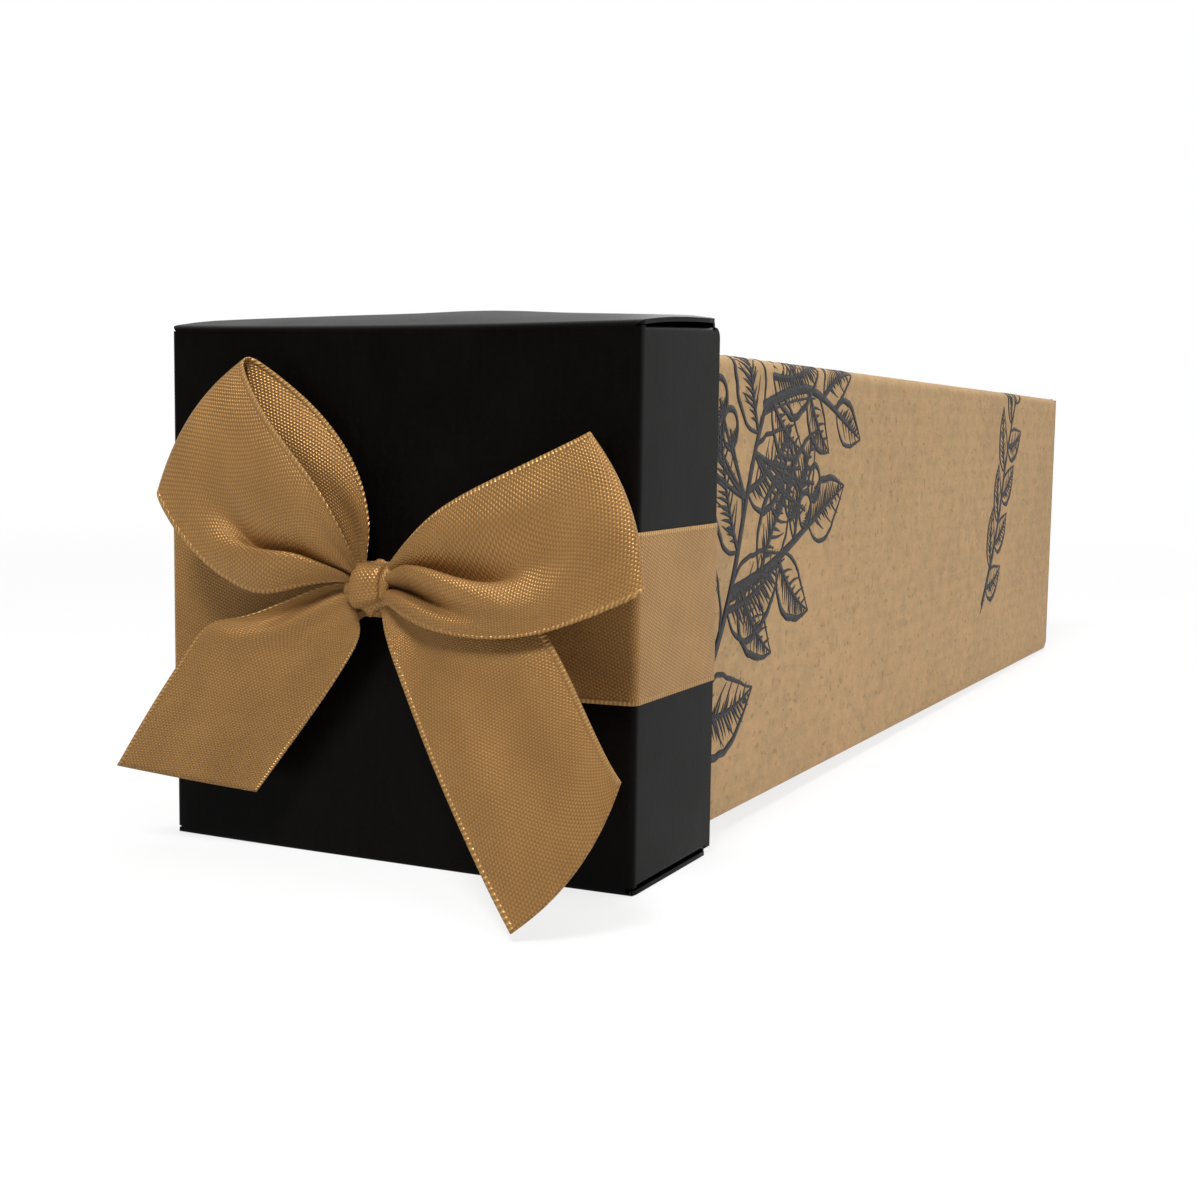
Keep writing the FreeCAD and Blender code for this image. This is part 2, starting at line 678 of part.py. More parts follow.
def print_places():
    """The places that the record states for the joints and mounts."""
    length = size("carton_length")
    width = size("carton_width")
    dust_face = length - size("carton_board") - size("crease_gap")
    root = size("carton_board") + size("crease_gap")
    for name, local in (
        ("upper crease", Vector(0, length, width)),
        ("tongue crease", Vector(0, length, root)),
        ("right crease", Vector(width / 2, dust_face, width / 2)),
        ("left crease", Vector(-width / 2, dust_face, width / 2)),
        ("far face", Vector(0, length, width / 2)),
        ("mouth", Vector(0, 0, width / 2)),
    ):
        place = carton_placement.multVec(local)
        print(f"{name}: {place.x:.4f} {place.y:.4f} {place.z:.4f}")
    print(f"droop: {math.degrees(carton_droop):.4f} degrees")
    upright = carton_placement.Rotation.multVec(Vector(0, 0, 1))
    print(f"carton's own +Z: {upright.x:.6f} {upright.y:.6f} {upright.z:.6f}")


carton_panels()
glue_tab()
bottom_flap()
tuck_tongue()
dust_flaps()
lid_end_panel()
lid_rolled_walls()
lid_side_walls()
ribbon_band()
knot()
bow()
check_and_export()
print_places()
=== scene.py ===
"""A folding bottle box that lies on its side: a kraft carton with a tuck bottom, a black folded lid,
and a satin band with a tied bow. Pieces are modelled in millimetres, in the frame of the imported
model, and scaled to metres when they are placed."""

import math
import random

import bmesh
import bpy
from mathutils import Matrix, Vector


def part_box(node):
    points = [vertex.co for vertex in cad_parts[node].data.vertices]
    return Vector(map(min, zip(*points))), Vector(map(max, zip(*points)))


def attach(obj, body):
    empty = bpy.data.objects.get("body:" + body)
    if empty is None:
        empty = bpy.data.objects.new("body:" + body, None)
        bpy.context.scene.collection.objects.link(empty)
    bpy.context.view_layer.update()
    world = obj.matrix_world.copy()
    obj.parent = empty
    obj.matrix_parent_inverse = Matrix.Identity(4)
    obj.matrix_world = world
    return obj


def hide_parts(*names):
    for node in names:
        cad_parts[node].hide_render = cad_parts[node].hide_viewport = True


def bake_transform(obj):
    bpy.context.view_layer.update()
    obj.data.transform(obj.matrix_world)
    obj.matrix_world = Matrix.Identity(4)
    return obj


bl_info = {
    "name": "Folding bottle box",
    "version": (1, 0, 0),
    "blender": (4, 5, 0),
    "location": "3D View > Sidebar > Bottle box",
    "description": "Builds a kraft bottle box with a black lid and a satin bow",
    "category": "Object",
}

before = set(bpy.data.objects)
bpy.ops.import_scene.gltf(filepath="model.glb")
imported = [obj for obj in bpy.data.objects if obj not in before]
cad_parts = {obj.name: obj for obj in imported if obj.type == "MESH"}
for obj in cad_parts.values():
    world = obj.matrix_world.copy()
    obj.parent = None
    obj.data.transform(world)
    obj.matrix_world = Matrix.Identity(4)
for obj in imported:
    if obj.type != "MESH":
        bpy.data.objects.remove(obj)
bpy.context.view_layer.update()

MM = 0.001
FULL_TURN = 2 * math.pi


def linear(red, green, blue):
    """A colour that is given as it shows on a screen, from 0 to 255, as the shader takes it."""
    shares = (channel / 255 for channel in (red, green, blue))
    return tuple(s / 12.92 if s < 0.04045 else ((s + 0.055) / 1.055) ** 2.4 for s in shares)


def length(label, note, millimetres):
    return bpy.props.FloatProperty(
        name=label,
        description=note,
        default=millimetres * MM,
        precision=5,
        subtype="DISTANCE",
        unit="LENGTH",
    )


def colour(label, note, red, green, blue):
    return bpy.props.FloatVectorProperty(
        name=label,
        description=note,
        default=linear(red, green, blue),
        min=0.0,
        max=1.0,
        size=3,
        subtype="COLOR",
    )


class BottleBoxCarton(bpy.types.PropertyGroup):
    """Sizes of the kraft carton"""

    width: length("Width", "Outside width and height of the carton", 80)
    length: length("Length", "Outside length of the carton", 327)
    board: length("Board", "Thickness of the fluted kraft board", 1.5)
    liner: length("Liner", "Thickness of each of the board's two liners", 0.28)
    medium: length("Medium", "Thickness of the fluted sheet between the liners", 0.16)
    flute: length("Flute", "Distance from one flute to the next", 3.3)
    crease: length("Crease", "Radius of the carton's long creases", 2.0)
    bulge: length("Bulge", "How far the upper panel stands proud at its middle", 0.9)
    side_bulge: length("Side bulge", "How far the side panels stand proud at their middle", 0.35)
    tongue: length("Tongue", "Length of the tuck tongue", 18)


class BottleBoxLid(bpy.types.PropertyGroup):
    """Sizes of the black lid"""

    width: length("Width", "Outside width of the lid", 86)
    depth: length("Depth", "Outside depth of the lid along the box", 31)
    board: length("Board", "Thickness of the black board", 0.7)
    spring: length("Spring", "How far the upper wall springs up at the rim", 2.65)
    tilt: length("Tilt", "How much further it springs up at its left corner than in its middle", 0.25)
    crown: length("Crown", "How far the upper wall's middle stands above its corners", 0.75)
    peak: length("Peak", "How far the crown comes to a peak", 0.4)
    sag: length("Sag", "How far the upper fold hangs in its middle", 0.4)
    droop: length("Droop", "How far the upper wall's right corner hangs", 0.5)
    lift: length("Lift", "How far the lower corners stand off the table", 0.15)
    fold: length("Fold", "Outside radius of the folds beside the lid's end", 1.1)
    upper_fold: length("Upper fold", "Outside radius of the fold along the upper wall", 1.4)
    corner: length("Corner", "Radius of the side walls' corners at the rim", 1.8)


class BottleBoxRibbon(bpy.types.PropertyGroup):
    """Sizes of the satin ribbon"""

    width: length("Width", "Width of the satin ribbon", 25)
    thickness: length("Thickness", "Thickness of the satin ribbon", 0.3)
    weave: length("Weave", "Distance from one row of the weave's floats to the next", 0.492)
    selvedge: length("Selvedge", "Width of the woven edge", 0.9)
    beads: length("Beads", "Distance from one bead of the woven edge to the next", 0.75)


class BottleBoxColours(bpy.types.PropertyGroup):
    """Colours of the box"""

    kraft: colour("Kraft", "Brown of the carton's liner", 177, 146, 106)
    warm: colour("Warm", "Colour of the warmer patches in the liner", 196, 152, 112)
    black: colour("Black", "Black of the lid's board", 9, 7, 6)
    satin: colour("Satin", "Old gold of the ribbon", 150, 111, 65)
    selvedge: colour("Selvedge", "Colour of the ribbon's woven edge", 174, 132, 80)
    ink: colour("Ink", "Black of the printed drawing", 38, 36, 38)
    glue: colour("Glue", "Colour of the dried glue", 222, 216, 200)
    floor: colour("Floor", "Colour of the floor", 244, 244, 244)


def sizes(group):
    """The sizes of one property group in millimetres, by name."""
    values = getattr(bpy.context.scene, group)
    return {name: getattr(values, name) / MM for name in values.__annotations__}


def colours():
    return bpy.context.scene.bottle_box_colours


# Finishes


class Wire:
    """The output of a node. Arithmetic on it adds Math nodes."""

    def __init__(self, nodes, socket):
        self.nodes = nodes
        self.socket = socket

    def math(self, operation, *values):
        return self.nodes.node("ShaderNodeMath", {"operation": operation}, dict(enumerate(values)))

    def __add__(self, other):
        return self.math("ADD", self, other)

    def __sub__(self, other):
        return self.math("SUBTRACT", self, other)

    def __rsub__(self, other):
        return self.math("SUBTRACT", other, self)

    def __mul__(self, other):
        return self.math("MULTIPLY", self, other)

    def __pow__(self, other):
        return self.math("POWER", self, other)

    __radd__ = __add__
    __rmul__ = __mul__

    def wave(self, pitch):
        """Runs from 0 to 1 and back once in each pitch."""
        return self.math("SINE", self * (FULL_TURN / pitch)) * 0.5 + 0.5


class Nodes:
    """A node tree that is put together node by node."""

    def __init__(self, tree):
        self.tree = tree

    def node(self, kind, settings=None, inputs=None, output=0):
        made = self.tree.nodes.new(kind)
        for key, value in (settings or {}).items():
            setattr(made, key, value)
        for key, value in (inputs or {}).items():
            self.feed(made.inputs[key], value)
        return Wire(self, made.outputs[output])

    def feed(self, socket, value):
        if isinstance(value, Wire):
            self.tree.links.new(value.socket, socket)
        elif socket.type == "RGBA":
            socket.default_value = (*value, 1)
        else:
            socket.default_value = value

    def ray(self, kind):
        """1 for rays of a kind, such as those that the camera sees."""
        return self.node("ShaderNodeLightPath", output=f"Is {kind} Ray")

    def place(self):
        return self.node("ShaderNodeTexCoord", output="Object")

    def split(self, vector):
        first = self.node("ShaderNodeSeparateXYZ", inputs={0: vector})
        return [Wire(self, socket) for socket in first.socket.node.outputs]

    def noise(self, place, grain, detail=2.0, stretch=(1, 1, 1), rough=0.5):
        """Soft noise with features as large as the grain, in the units of the place."""
        scale = tuple(share / grain for share in stretch)
        spread = self.node("ShaderNodeMapping", inputs={"Vector": place, "Scale": scale})
        inputs = {"Vector": spread, "Scale": 1.0, "Detail": detail, "Roughness": rough}
        return self.node("ShaderNodeTexNoise", inputs=inputs)

    def fit(self, value, low, high, to_low=0.0, to_high=1.0):
        """Runs smoothly from one pair of values to the other, and stays inside it."""
        ends = {"Value": value, 1: low, 2: high, 3: to_low, 4: to_high}
        return self.node("ShaderNodeMapRange", {"interpolation_type": "SMOOTHSTEP"}, ends)

    def mix(self, share, first, second):
        inputs = {0: share, 6: first, 7: second}
        return self.node("ShaderNodeMix", {"data_type": "RGBA"}, inputs, output=2)

    def bump(self, height, distance, under=None):
        inputs = {"Height": height, "Distance": distance, "Strength": 1.0}
        if under:
            inputs["Normal"] = under
        return self.node("ShaderNodeBump", inputs=inputs)


class Finish(Nodes):
    """A material whose surface is one Principled shader."""

    def __init__(self, name, **constants):
        self.material = bpy.data.materials.new(name)
        self.material.use_nodes = True
        super().__init__(self.material.node_tree)
        self.surface = self.tree.nodes["Principled BSDF"]
        for label, value in constants.items():
            self.surface.inputs[label.replace("_", " ")].default_value = value

    def show(self, **looks):
        """Feeds the surface's sockets, named with _ for a space."""
        for label, value in looks.items():
            self.feed(self.surface.inputs[label.replace("_", " ")], value)
        return self.material


def shade(tone, share):
    return tuple(min(1.0, channel * share) for channel in tone)


def kraft_finish():
    """Brown liner with clouds, a short mottle, pale and dark fibres, and faint flute lines."""
    kraft = colours().kraft
    finish = Finish("kraft_liner", Specular_IOR_Level=0.25)
    place = finish.place()
    clouds = finish.noise(place, 0.045, 3.0)
    mottle = finish.noise(place, 0.0026, 3.0, (1, 0.8, 1), 0.6)
    grain = finish.noise(place, 0.0006, 2.0, (1, 0.4, 1))
    fibres = finish.noise(place, 0.0022, 1.0, (5, 1, 5), 0.7)
    specks = finish.noise(place, 0.0011, 0.0, (1, 0.7, 1))
    x, _, z = finish.split(place)
    flute = sizes("bottle_box_carton")["flute"] * MM
    lines = x.wave(flute) * z.wave(flute)
    tone = clouds * 0.35 + mottle * 0.75 + grain * 0.25 + lines * 0.05
    board = finish.mix(finish.fit(tone, 0.45, 0.93), shade(kraft, 0.84), shade(kraft, 1.13))
    patches = finish.fit(finish.noise(place, 0.006, 2.0), 0.5, 0.75, 0, 0.35)
    warm = finish.mix(patches, board, colours().warm)
    dark = finish.mix(finish.fit(specks, 0.70, 0.78, 0, 0.45), warm, shade(kraft, 0.45))
    pale = finish.mix(finish.fit(fibres, 0.66, 0.78, 0, 0.3), dark, shade(kraft, 1.35))
    relief = finish.bump(grain * 0.5 + fibres * 0.4 + mottle * 0.5, 0.00006)
    relief = finish.bump(lines, 0.00003, relief)
    return finish.show(Base_Color=pale, Roughness=finish.fit(mottle, 0.3, 0.7, 0.78, 0.9), Normal=relief)


def black_finish():
    """Black board with a faint film that shows at a low angle, a little cloudy and scuffed."""
    black = colours().black
    finish = Finish(
        "black_board",
        Specular_IOR_Level=0.02,
        Coat_Weight=0.28,
        Coat_IOR=1.25,
        Coat_Roughness=0.28,
    )
    place = finish.place()
    clouds = finish.noise(place, 0.012, 3.0)
    grain = finish.noise(place, 0.0007, 3.0, (1, 1, 1), 0.65)
    laid = finish.noise(place, 0.0009, 1.0, (1, 1, 0.15))
    tone = finish.fit(clouds * 0.5 + grain * 0.5 + laid * 0.3, 0.4, 0.9)
    board = finish.mix(tone, shade(black, 0.65), shade(black, 1.35))
    specks = finish.fit(finish.noise(place, 0.0013, 0.0), 0.84, 0.87, 0, 0.4)
    board = finish.mix(specks, board, shade(black, 4.0))
    relief = finish.bump(grain + laid * 0.5, 0.00004)
    rough = finish.fit(clouds + grain * 0.6, 0.5, 1.1, 0.5, 0.62)
    return finish.show(Base_Color=board, Roughness=rough, Normal=relief)


WEAVE_SLANTS = (-40, 20, 80)  # directions in which the rows of floats follow each other, in degrees


def satin_finish():
    """Satin whose weave shows as close staggered dots, painted lighter where they would shine, with a
    woven edge on each side.
    """
    ribbon = sizes("bottle_box_ribbon")
    satin = colours().satin
    finish = Finish(
        "old_gold_satin",
        Specular_IOR_Level=0.4,
        Specular_Tint=(1.0, 0.82, 0.52, 1.0),
        Sheen_Weight=0.15,
        Sheen_Roughness=0.35,
        Sheen_Tint=(1.0, 0.76, 0.42, 1.0),
    )
    map_place = finish.node("ShaderNodeUVMap", {"uv_map": "ribbon"})
    across, along, _ = finish.split(map_place)
    wander = finish.noise(map_place, 4.0, 1.0) * 0.08
    first, second, third = (
        (across * math.cos(slant) + along * math.sin(slant) + wander).wave(ribbon["weave"])
        for slant in map(math.radians, WEAVE_SLANTS)
    )
    weave = (first + second + third) * (1 / 3)
    width = ribbon["width"]
    middle = finish.node("ShaderNodeMath", {"operation": "ABSOLUTE"}, {0: across - width / 2})
    edge = finish.fit(middle, width / 2 - ribbon["selvedge"], width / 2 - ribbon["selvedge"] * 0.55)
    beads = along.wave(ribbon["beads"])
    cloud = finish.noise(map_place, 7.0, 2.0, (1, 0.6, 1))
    # The dots are lighter than the ground between them: partly the weave's own pattern, partly a painted
    # highlight where the floats would shine.
    tone = finish.fit(weave * 0.8 + cloud * 0.35, 0.3, 1.05)
    satin_with_painted_glints = finish.mix(tone, shade(satin, 0.74), shade(satin, 1.7))
    hem = finish.mix(beads, shade(colours().selvedge, 0.72), shade(colours().selvedge, 1.25))
    satin_with_painted_glints = finish.mix(edge, satin_with_painted_glints, hem)
    height = weave * (1 - edge) + edge * (beads * 1.6 + 1.2)
    relief = finish.bump(height, 0.00012)
    rough = finish.fit(weave, 0.3, 1.0, 0.45, 0.27)
    gold = finish.fit(weave, 0.4, 1.0, 0.28, 0.6)
    return finish.show(Base_Color=satin_with_painted_glints, Metallic=gold, Roughness=rough, Normal=relief)


def ink_finish():
    """Flat black ink that is a little starved where the board is rough."""
    finish = Finish("black_ink", Specular_IOR_Level=0.3)
    place = finish.place()
    dry = finish.noise(place, 0.0007, 3.0, (1, 1, 1), 0.7)
    starved = finish.fit(dry, 0.62, 0.78, 0, 0.35)
    tone = finish.mix(starved, colours().ink, shade(colours().kraft, 0.55))
    return finish.show(Base_Color=tone, Roughness=finish.fit(dry, 0.3, 0.7, 0.55, 0.75))


def glue_finish():
    """Dried glue, slightly cloudy."""
    finish = Finish(
        "dried_glue", Specular_IOR_Level=0.5, Subsurface_Weight=0.3, Subsurface_Scale=0.002
    )
    cloud = finish.noise(finish.place(), 0.0015, 3.0)
    tone = finish.mix(cloud, shade(colours().glue, 0.8), colours().glue)
    rough = finish.fit(cloud, 0.3, 0.7, 0.25, 0.4)
    return finish.show(Base_Color=tone, Roughness=rough, Normal=finish.bump(cloud, 0.0002))


FINISHES = {
    "kraft_board": kraft_finish,
    "black_board": black_finish,
    "satin_ribbon": satin_finish,
    "black_ink": ink_finish,
    "clear_glue": glue_finish,
}
made_finishes = {}


def finish_of(slot):
    if slot not in made_finishes:
        made_finishes[slot] = FINISHES[slot]()
    return made_finishes[slot]


# Mesh tools


def only(kind, geometry):
    return [item for item in geometry if isinstance(item, kind)]


def add_chain(bm, points):
    """Vertices through the points, joined by edges."""
    verts = [bm.verts.new(point) for point in points]
    for pair in zip(verts, verts[1:]):
        bm.edges.new(pair)
    return verts


def flat_grid(width, length, columns, rows):
    """A grid in XY with its middle at the origin."""
    bm = bmesh.new()
    bmesh.ops.create_grid(bm, x_segments=columns, y_segments=rows, size=0.5)
    bmesh.ops.scale(bm, vec=(width, length, 1), verts=bm.verts)
    return bm


def round_verts(bm, verts, radius, segments=4):
    bmesh.ops.bevel(
        bm, geom=verts, offset=radius, offset_type="OFFSET", affect="VERTICES",
        segments=segments, profile=0.5, material=-1,
    )


def extrude(bm, edges, move):
    """Extrudes edges by a move, and gives the new vertices."""
    made = bmesh.ops.extrude_edge_only(bm, edges=edges)["geom"]
    verts = only(bmesh.types.BMVert, made)
    bmesh.ops.translate(bm, vec=move, verts=verts)
    return verts


def cut(bm, point, normal, clear=False):
    """Cuts the faces along a plane, and clears away what lies past it if asked."""
    everything = bm.verts[:] + bm.edges[:] + bm.faces[:]
    bmesh.ops.bisect_plane(
        bm, geom=everything, dist=0.0001, plane_co=point, plane_no=normal, clear_outer=clear
    )


def slice_at(bm, axis, places):
    """Cuts the faces across an axis, so that they can be bent there."""
    normal = Vector((0, 0, 0))
    normal[axis] = 1
    for place in places:
        cut(bm, normal * place, normal)


def drop_faces(bm, test):
    gone = [face for face in bm.faces if test(face.calc_center_median())]
    bmesh.ops.delete(bm, geom=gone, context="FACES")


def face_towards(bm, direction, test=None):
    """Makes the normals agree, with a direction where the faces' middles pass the test."""
    bmesh.ops.recalc_face_normals(bm, faces=bm.faces[:])
    bm.normal_update()
    tested = [f for f in bm.faces if test is None or test(f.calc_center_median())]
    agreement = sum(f.normal.dot(direction) * f.calc_area() for f in tested)
    if agreement < 0:
        bmesh.ops.reverse_faces(bm, faces=bm.faces[:])
        bm.normal_update()


def thicken(bm, thickness):
    """Gives a sheet its thickness, behind its faces."""
    bmesh.ops.solidify(bm, geom=bm.faces[:], thickness=thickness)


def absorb(bm, other):
    """Takes in the geometry of another bmesh and frees that one."""
    passing = bpy.data.meshes.new("passing")
    other.to_mesh(passing)
    other.free()
    bm.from_mesh(passing)
    bpy.data.meshes.remove(passing)


def cad_box(node):
    """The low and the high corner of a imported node, in millimetres."""
    return [Vector(corner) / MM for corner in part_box(node)]


def add_object(name, data):
    """Puts a new object in the scene."""
    made = bpy.data.objects.new(name, data)
    bpy.context.scene.collection.objects.link(made)
    return made


def add_mesh(name, bm):
    """Puts a bmesh in the scene as an object, and frees it."""
    mesh = bpy.data.meshes.new(name)
    bm.to_mesh(mesh)
    bm.free()
    return add_object(name, mesh)


def add_piece(name, bm, slot, body=None, replaced=(), place=Matrix(), sharp=40):
    """Makes a piece of a bmesh in millimetres with its slot's finish, hangs it on its body if it has
    one, and hides the imported parts that it replaces.
    """
    bm.transform(Matrix.Scale(MM, 4) @ place)
    piece = add_mesh(name, bm)
    piece.data.materials.append(finish_of(slot))
    piece.data.shade_smooth()
    piece.data.set_sharp_from_angle(angle=math.radians(sharp))
    if body:
        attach(piece, body)
    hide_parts(*replaced)
    return piece


def smoothstep(value, low, high):
    share = min(1.0, max(0.0, (value - low) / (high - low)))
    return share * share * (3 - 2 * share)


# The carton, in its own frame: +Y from its mouth to its far end, Z = 0 at its underside

CARTON_MOUTH = (0, -14.4987, 3.0828)  # the middle of the mouth's lower edge
CARTON_DROOP = math.radians(0.5402)
CARTON_PLACE = Matrix.Translation(CARTON_MOUTH) @ Matrix.Rotation(-CARTON_DROOP, 4, "X")
FOLD_RADIUS = 0.9  # outside radius of the bottom flap's and the dust flaps' creases
TONGUE_FOLD = 0.6  # and of the tongue's
SLEEVE_STOP = 2.6  # from the far end back to where the tube's own liners stop
FLAP_REST = 0.3  # opening along a folding crease
MITRE = math.sqrt(0.5)
MITRE_BACK = 0.35  # from a flap's edge back to where its mitre starts
TONGUE_LEAN = math.radians(12)
DUST_SLOPE = math.radians(32)
DUST_LOW = 5.035  # height of the dust flaps' lower edge
DUST_LAP, DUST_BEND = 2.2, 1.4  # how far a dust flap's outer liner laps and bends past its corner
BOTTOM_LAP, BOTTOM_BEND = 2.6, 1.8
TONGUE_LAP = 2.4
BULGE_DEPTH = 2.4  # how deep below the outside the board bulges
INNER_CREASE = 0.5  # radius of the inner liner's long creases
LOWER_REACH = 0.3  # liners higher than this above a lower one stop short of the far end
TAB_ACROSS, TAB_ALONG = 12, 8  # how far the seam tab's slanted corners reach
GLUE_LINE = 0.02  # thickness of the glue under the seam tab
COVER_PROUD = 0.02  # how much thicker the liner is where it bends round a crease
TONGUE_SIDE = 0.5  # from the tongue's sides to the side panels
TONGUE_ROOT, TONGUE_BEVEL = 0.5, 0.68  # place and slant, in radians, of the cut along its root
TONGUE_CORNER = 6  # radius of its two free corners
DUST_GAP = 4.0  # from a dust flap's tip to the carton's middle
DUST_HIGH = 3.0  # from the dust flaps' upper edge to the carton's upper side
DUST_CORNER = 7  # size of the slanted corner at the lower end of a dust flap's tip
BOTTOM_SIDE = 1.2  # from the ends of the bottom flap's crease to the carton's sides
# Places along the carton where its faces are cut
ROWS = [4, 10, 20, 35, 55, 80, 120, 160, 200, 240, 270, 290, 305, 318]


def bulge_carton(bm, carton):
    """Pushes the panels out a little between their creases, as folded board stands."""
    half = carton["width"] / 2
    inside = half - 1.0
    for vert in bm.verts:
        x, y, z = vert.co
        ends = 1 - smoothstep(y, carton["length"] - 60, carton["length"] - 4)
        if z > carton["width"] - BULGE_DEPTH:
            share = max(0.0, 1 - (x / inside) ** 2)
            vert.co.z += carton["bulge"] * share * ends * (0.45 + 0.55 * smoothstep(y, 10, 60))
        if abs(x) > half - BULGE_DEPTH:
            share = max(0.0, 1 - ((z - half) / inside) ** 2)
            vert.co.x += math.copysign(carton["side_bulge"] * share * ends, x)


def add_kraft(name, bm, body, replaced, place=Matrix()):
    """Makes a piece of kraft board that is placed in the carton's frame."""
    return add_piece(name, bm, "kraft_board", body, replaced, CARTON_PLACE @ place)


def fluted_sheet(carton, width, length):
    """The fluted medium of a flat board, lying in XY with its flutes along Y."""
    bm = flat_grid(width, length, round(width / carton["flute"]) * 8, 1)
    height = carton["board"] / 2 - carton["liner"] - carton["medium"] / 2
    for vert in bm.verts:
        vert.co.z = height * math.sin(vert.co.x * FULL_TURN / carton["flute"])
    return bm


def board_blank(carton, width, length, cuts):
    """A flat board in XY with its flutes along Y, outside up, its middle at the origin. Each cut is
    a point and the direction in which the board is cut away."""
    bm = bmesh.new()
    sheets = []
    for facing in (1, -1):
        liner = flat_grid(width, length, 2, 2)
        shift = (0, 0, facing * carton["board"] / 2)
        bmesh.ops.translate(liner, vec=shift, verts=liner.verts)
        sheets.append((liner, Vector((0, 0, facing)), carton["liner"]))
    medium = fluted_sheet(carton, width, length)
    sheets.append((medium, Vector((0, 0, 1)), carton["medium"]))
    for sheet, facing, thickness in sheets:
        for point, outward in cuts:
            cut(sheet, Vector(point), Vector(outward), True)
        face_towards(sheet, facing)
        thicken(sheet, thickness)
        absorb(bm, sheet)
    return bm


def corner_cuts(corner, towards, radius):
    """Cuts that round a right-angled corner. Towards is the direction out of the corner."""
    steps = 3
    sx, sy = towards
    centre = Vector((corner[0] - sx * radius, corner[1] - sy * radius, 0))
    cuts = []
    for step in range(steps):
        angle = math.pi / 2 * (step + 1) / (steps + 1)
        outward = Vector((sx * math.cos(angle), sy * math.sin(angle), 0))
        cuts.append((centre + outward * radius, outward))
    return cuts


def build_sleeve():
    """The carton's tube: two liners round the corners, and a fluted medium in each panel."""
    carton = sizes("bottle_box_carton")
    half = carton["width"] / 2
    board = carton["board"]
    top = carton["width"]
    stop = carton["length"] - SLEEVE_STOP
    bm = bmesh.new()
    outside = ((-half, board), (-half, top), (half, top), (half, 0), (-half, 0))
    inner = half - board
    inside = ((-inner, board), (-inner, top - board), (inner, top - board), (inner, board),
              (-half, board))
    steps = [place * 0.1 * half for place in range(-9, 10, 2)]
    for section, radius, floor, outward in (
        (outside, carton["crease"], LOWER_REACH, 1),
        (inside, INNER_CREASE, board + LOWER_REACH, -1),
    ):
        liner = bmesh.new()
        verts = add_chain(liner, [(x, 0, z) for x, z in section])
        round_verts(liner, verts[1:4], radius, 5)
        extrude(liner, liner.edges[:], (0, carton["length"], 0))
        slice_at(liner, 0, steps)
        slice_at(liner, 2, [half + place for place in steps])
        slice_at(liner, 1, [*ROWS, stop])
        drop_faces(liner, lambda c: c.y > stop and c.z > floor)
        face_towards(liner, Vector((0, 0, outward)), lambda c: c.z > half * 1.9)
        thicken(liner, carton["liner"])
        absorb(bm, liner)
    middle = half - board / 2
    for turn, shift in (
        (0, (0, 0, top - board / 2)),
        (90, (middle, 0, half)),
        (180, (0, 0, board / 2)),
        (270, (-middle, 0, half)),
    ):
        medium = fluted_sheet(carton, 2 * inner, stop)
        slice_at(medium, 1, [row - stop / 2 for row in ROWS])
        face_towards(medium, Vector((0, 0, 1)))
        thicken(medium, carton["medium"])
        turning = Matrix.Rotation(math.radians(turn), 4, "Y")
        medium.transform(Matrix.Translation(Vector(shift) + Vector((0, stop / 2, 0))) @ turning)
        absorb(bm, medium)
    bulge_carton(bm, carton)
    panels = [f"carton_{side}_panel" for side in ("upper", "lower", "right", "left")]
    add_kraft("carton_sleeve", bm, "carton", panels)


def build_seam_tab():
    """The glued tab along the carton's lower left corner."""
    carton = sizes("bottle_box_carton")
    low, high = cad_box("glue_tab")
    width = high.x - low.x
    tab = (high.y - low.y) / math.cos(CARTON_DROOP)
    slant = Vector((TAB_ALONG, TAB_ACROSS, 0)).normalized()
    cuts = [
        ((width / 2, tab / 2 - TAB_ALONG, 0), slant),
        ((width / 2, TAB_ALONG - tab / 2, 0), (slant.x, -slant.y, 0)),
    ]
    bm = board_blank(carton, width, tab, cuts)
    level = carton["board"] * 1.5 + GLUE_LINE
    shift = Matrix.Translation(((low.x + high.x) / 2, tab / 2, level))
    add_kraft("seam_tab", bm, "carton", ["glue_tab"], shift)


def crease_cover(name, section, radius, axis, span, start, end):
    """The outer liner bent round a folding crease."""
    carton = sizes("bottle_box_carton")
    bm = bmesh.new()
    verts = add_chain(bm, section)
    round_verts(bm, verts[1:2], radius, 6)
    for vert in bm.verts:
        vert.co[axis] = span[0]
    move = Vector((0, 0, 0))
    move[axis] = span[1] - span[0]
    extrude(bm, bm.edges[:], move)
    steps = [span[0] + (span[1] - span[0]) * k / 8 for k in range(1, 8)]
    slice_at(bm, axis, steps)
    middle = sum((Vector(point) for point in section), Vector()) / 3
    outward = Vector(section[1]) - middle
    outward[axis] = 0
    face_towards(bm, outward)
    thicken(bm, carton["liner"] + COVER_PROUD)
    piece = add_kraft(name, bm, None, ())
    ends = [CARTON_PLACE @ Vector(point) * MM for point in (start, end)]
    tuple(ends[0])
    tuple(ends[1])
    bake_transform(piece)
    return piece


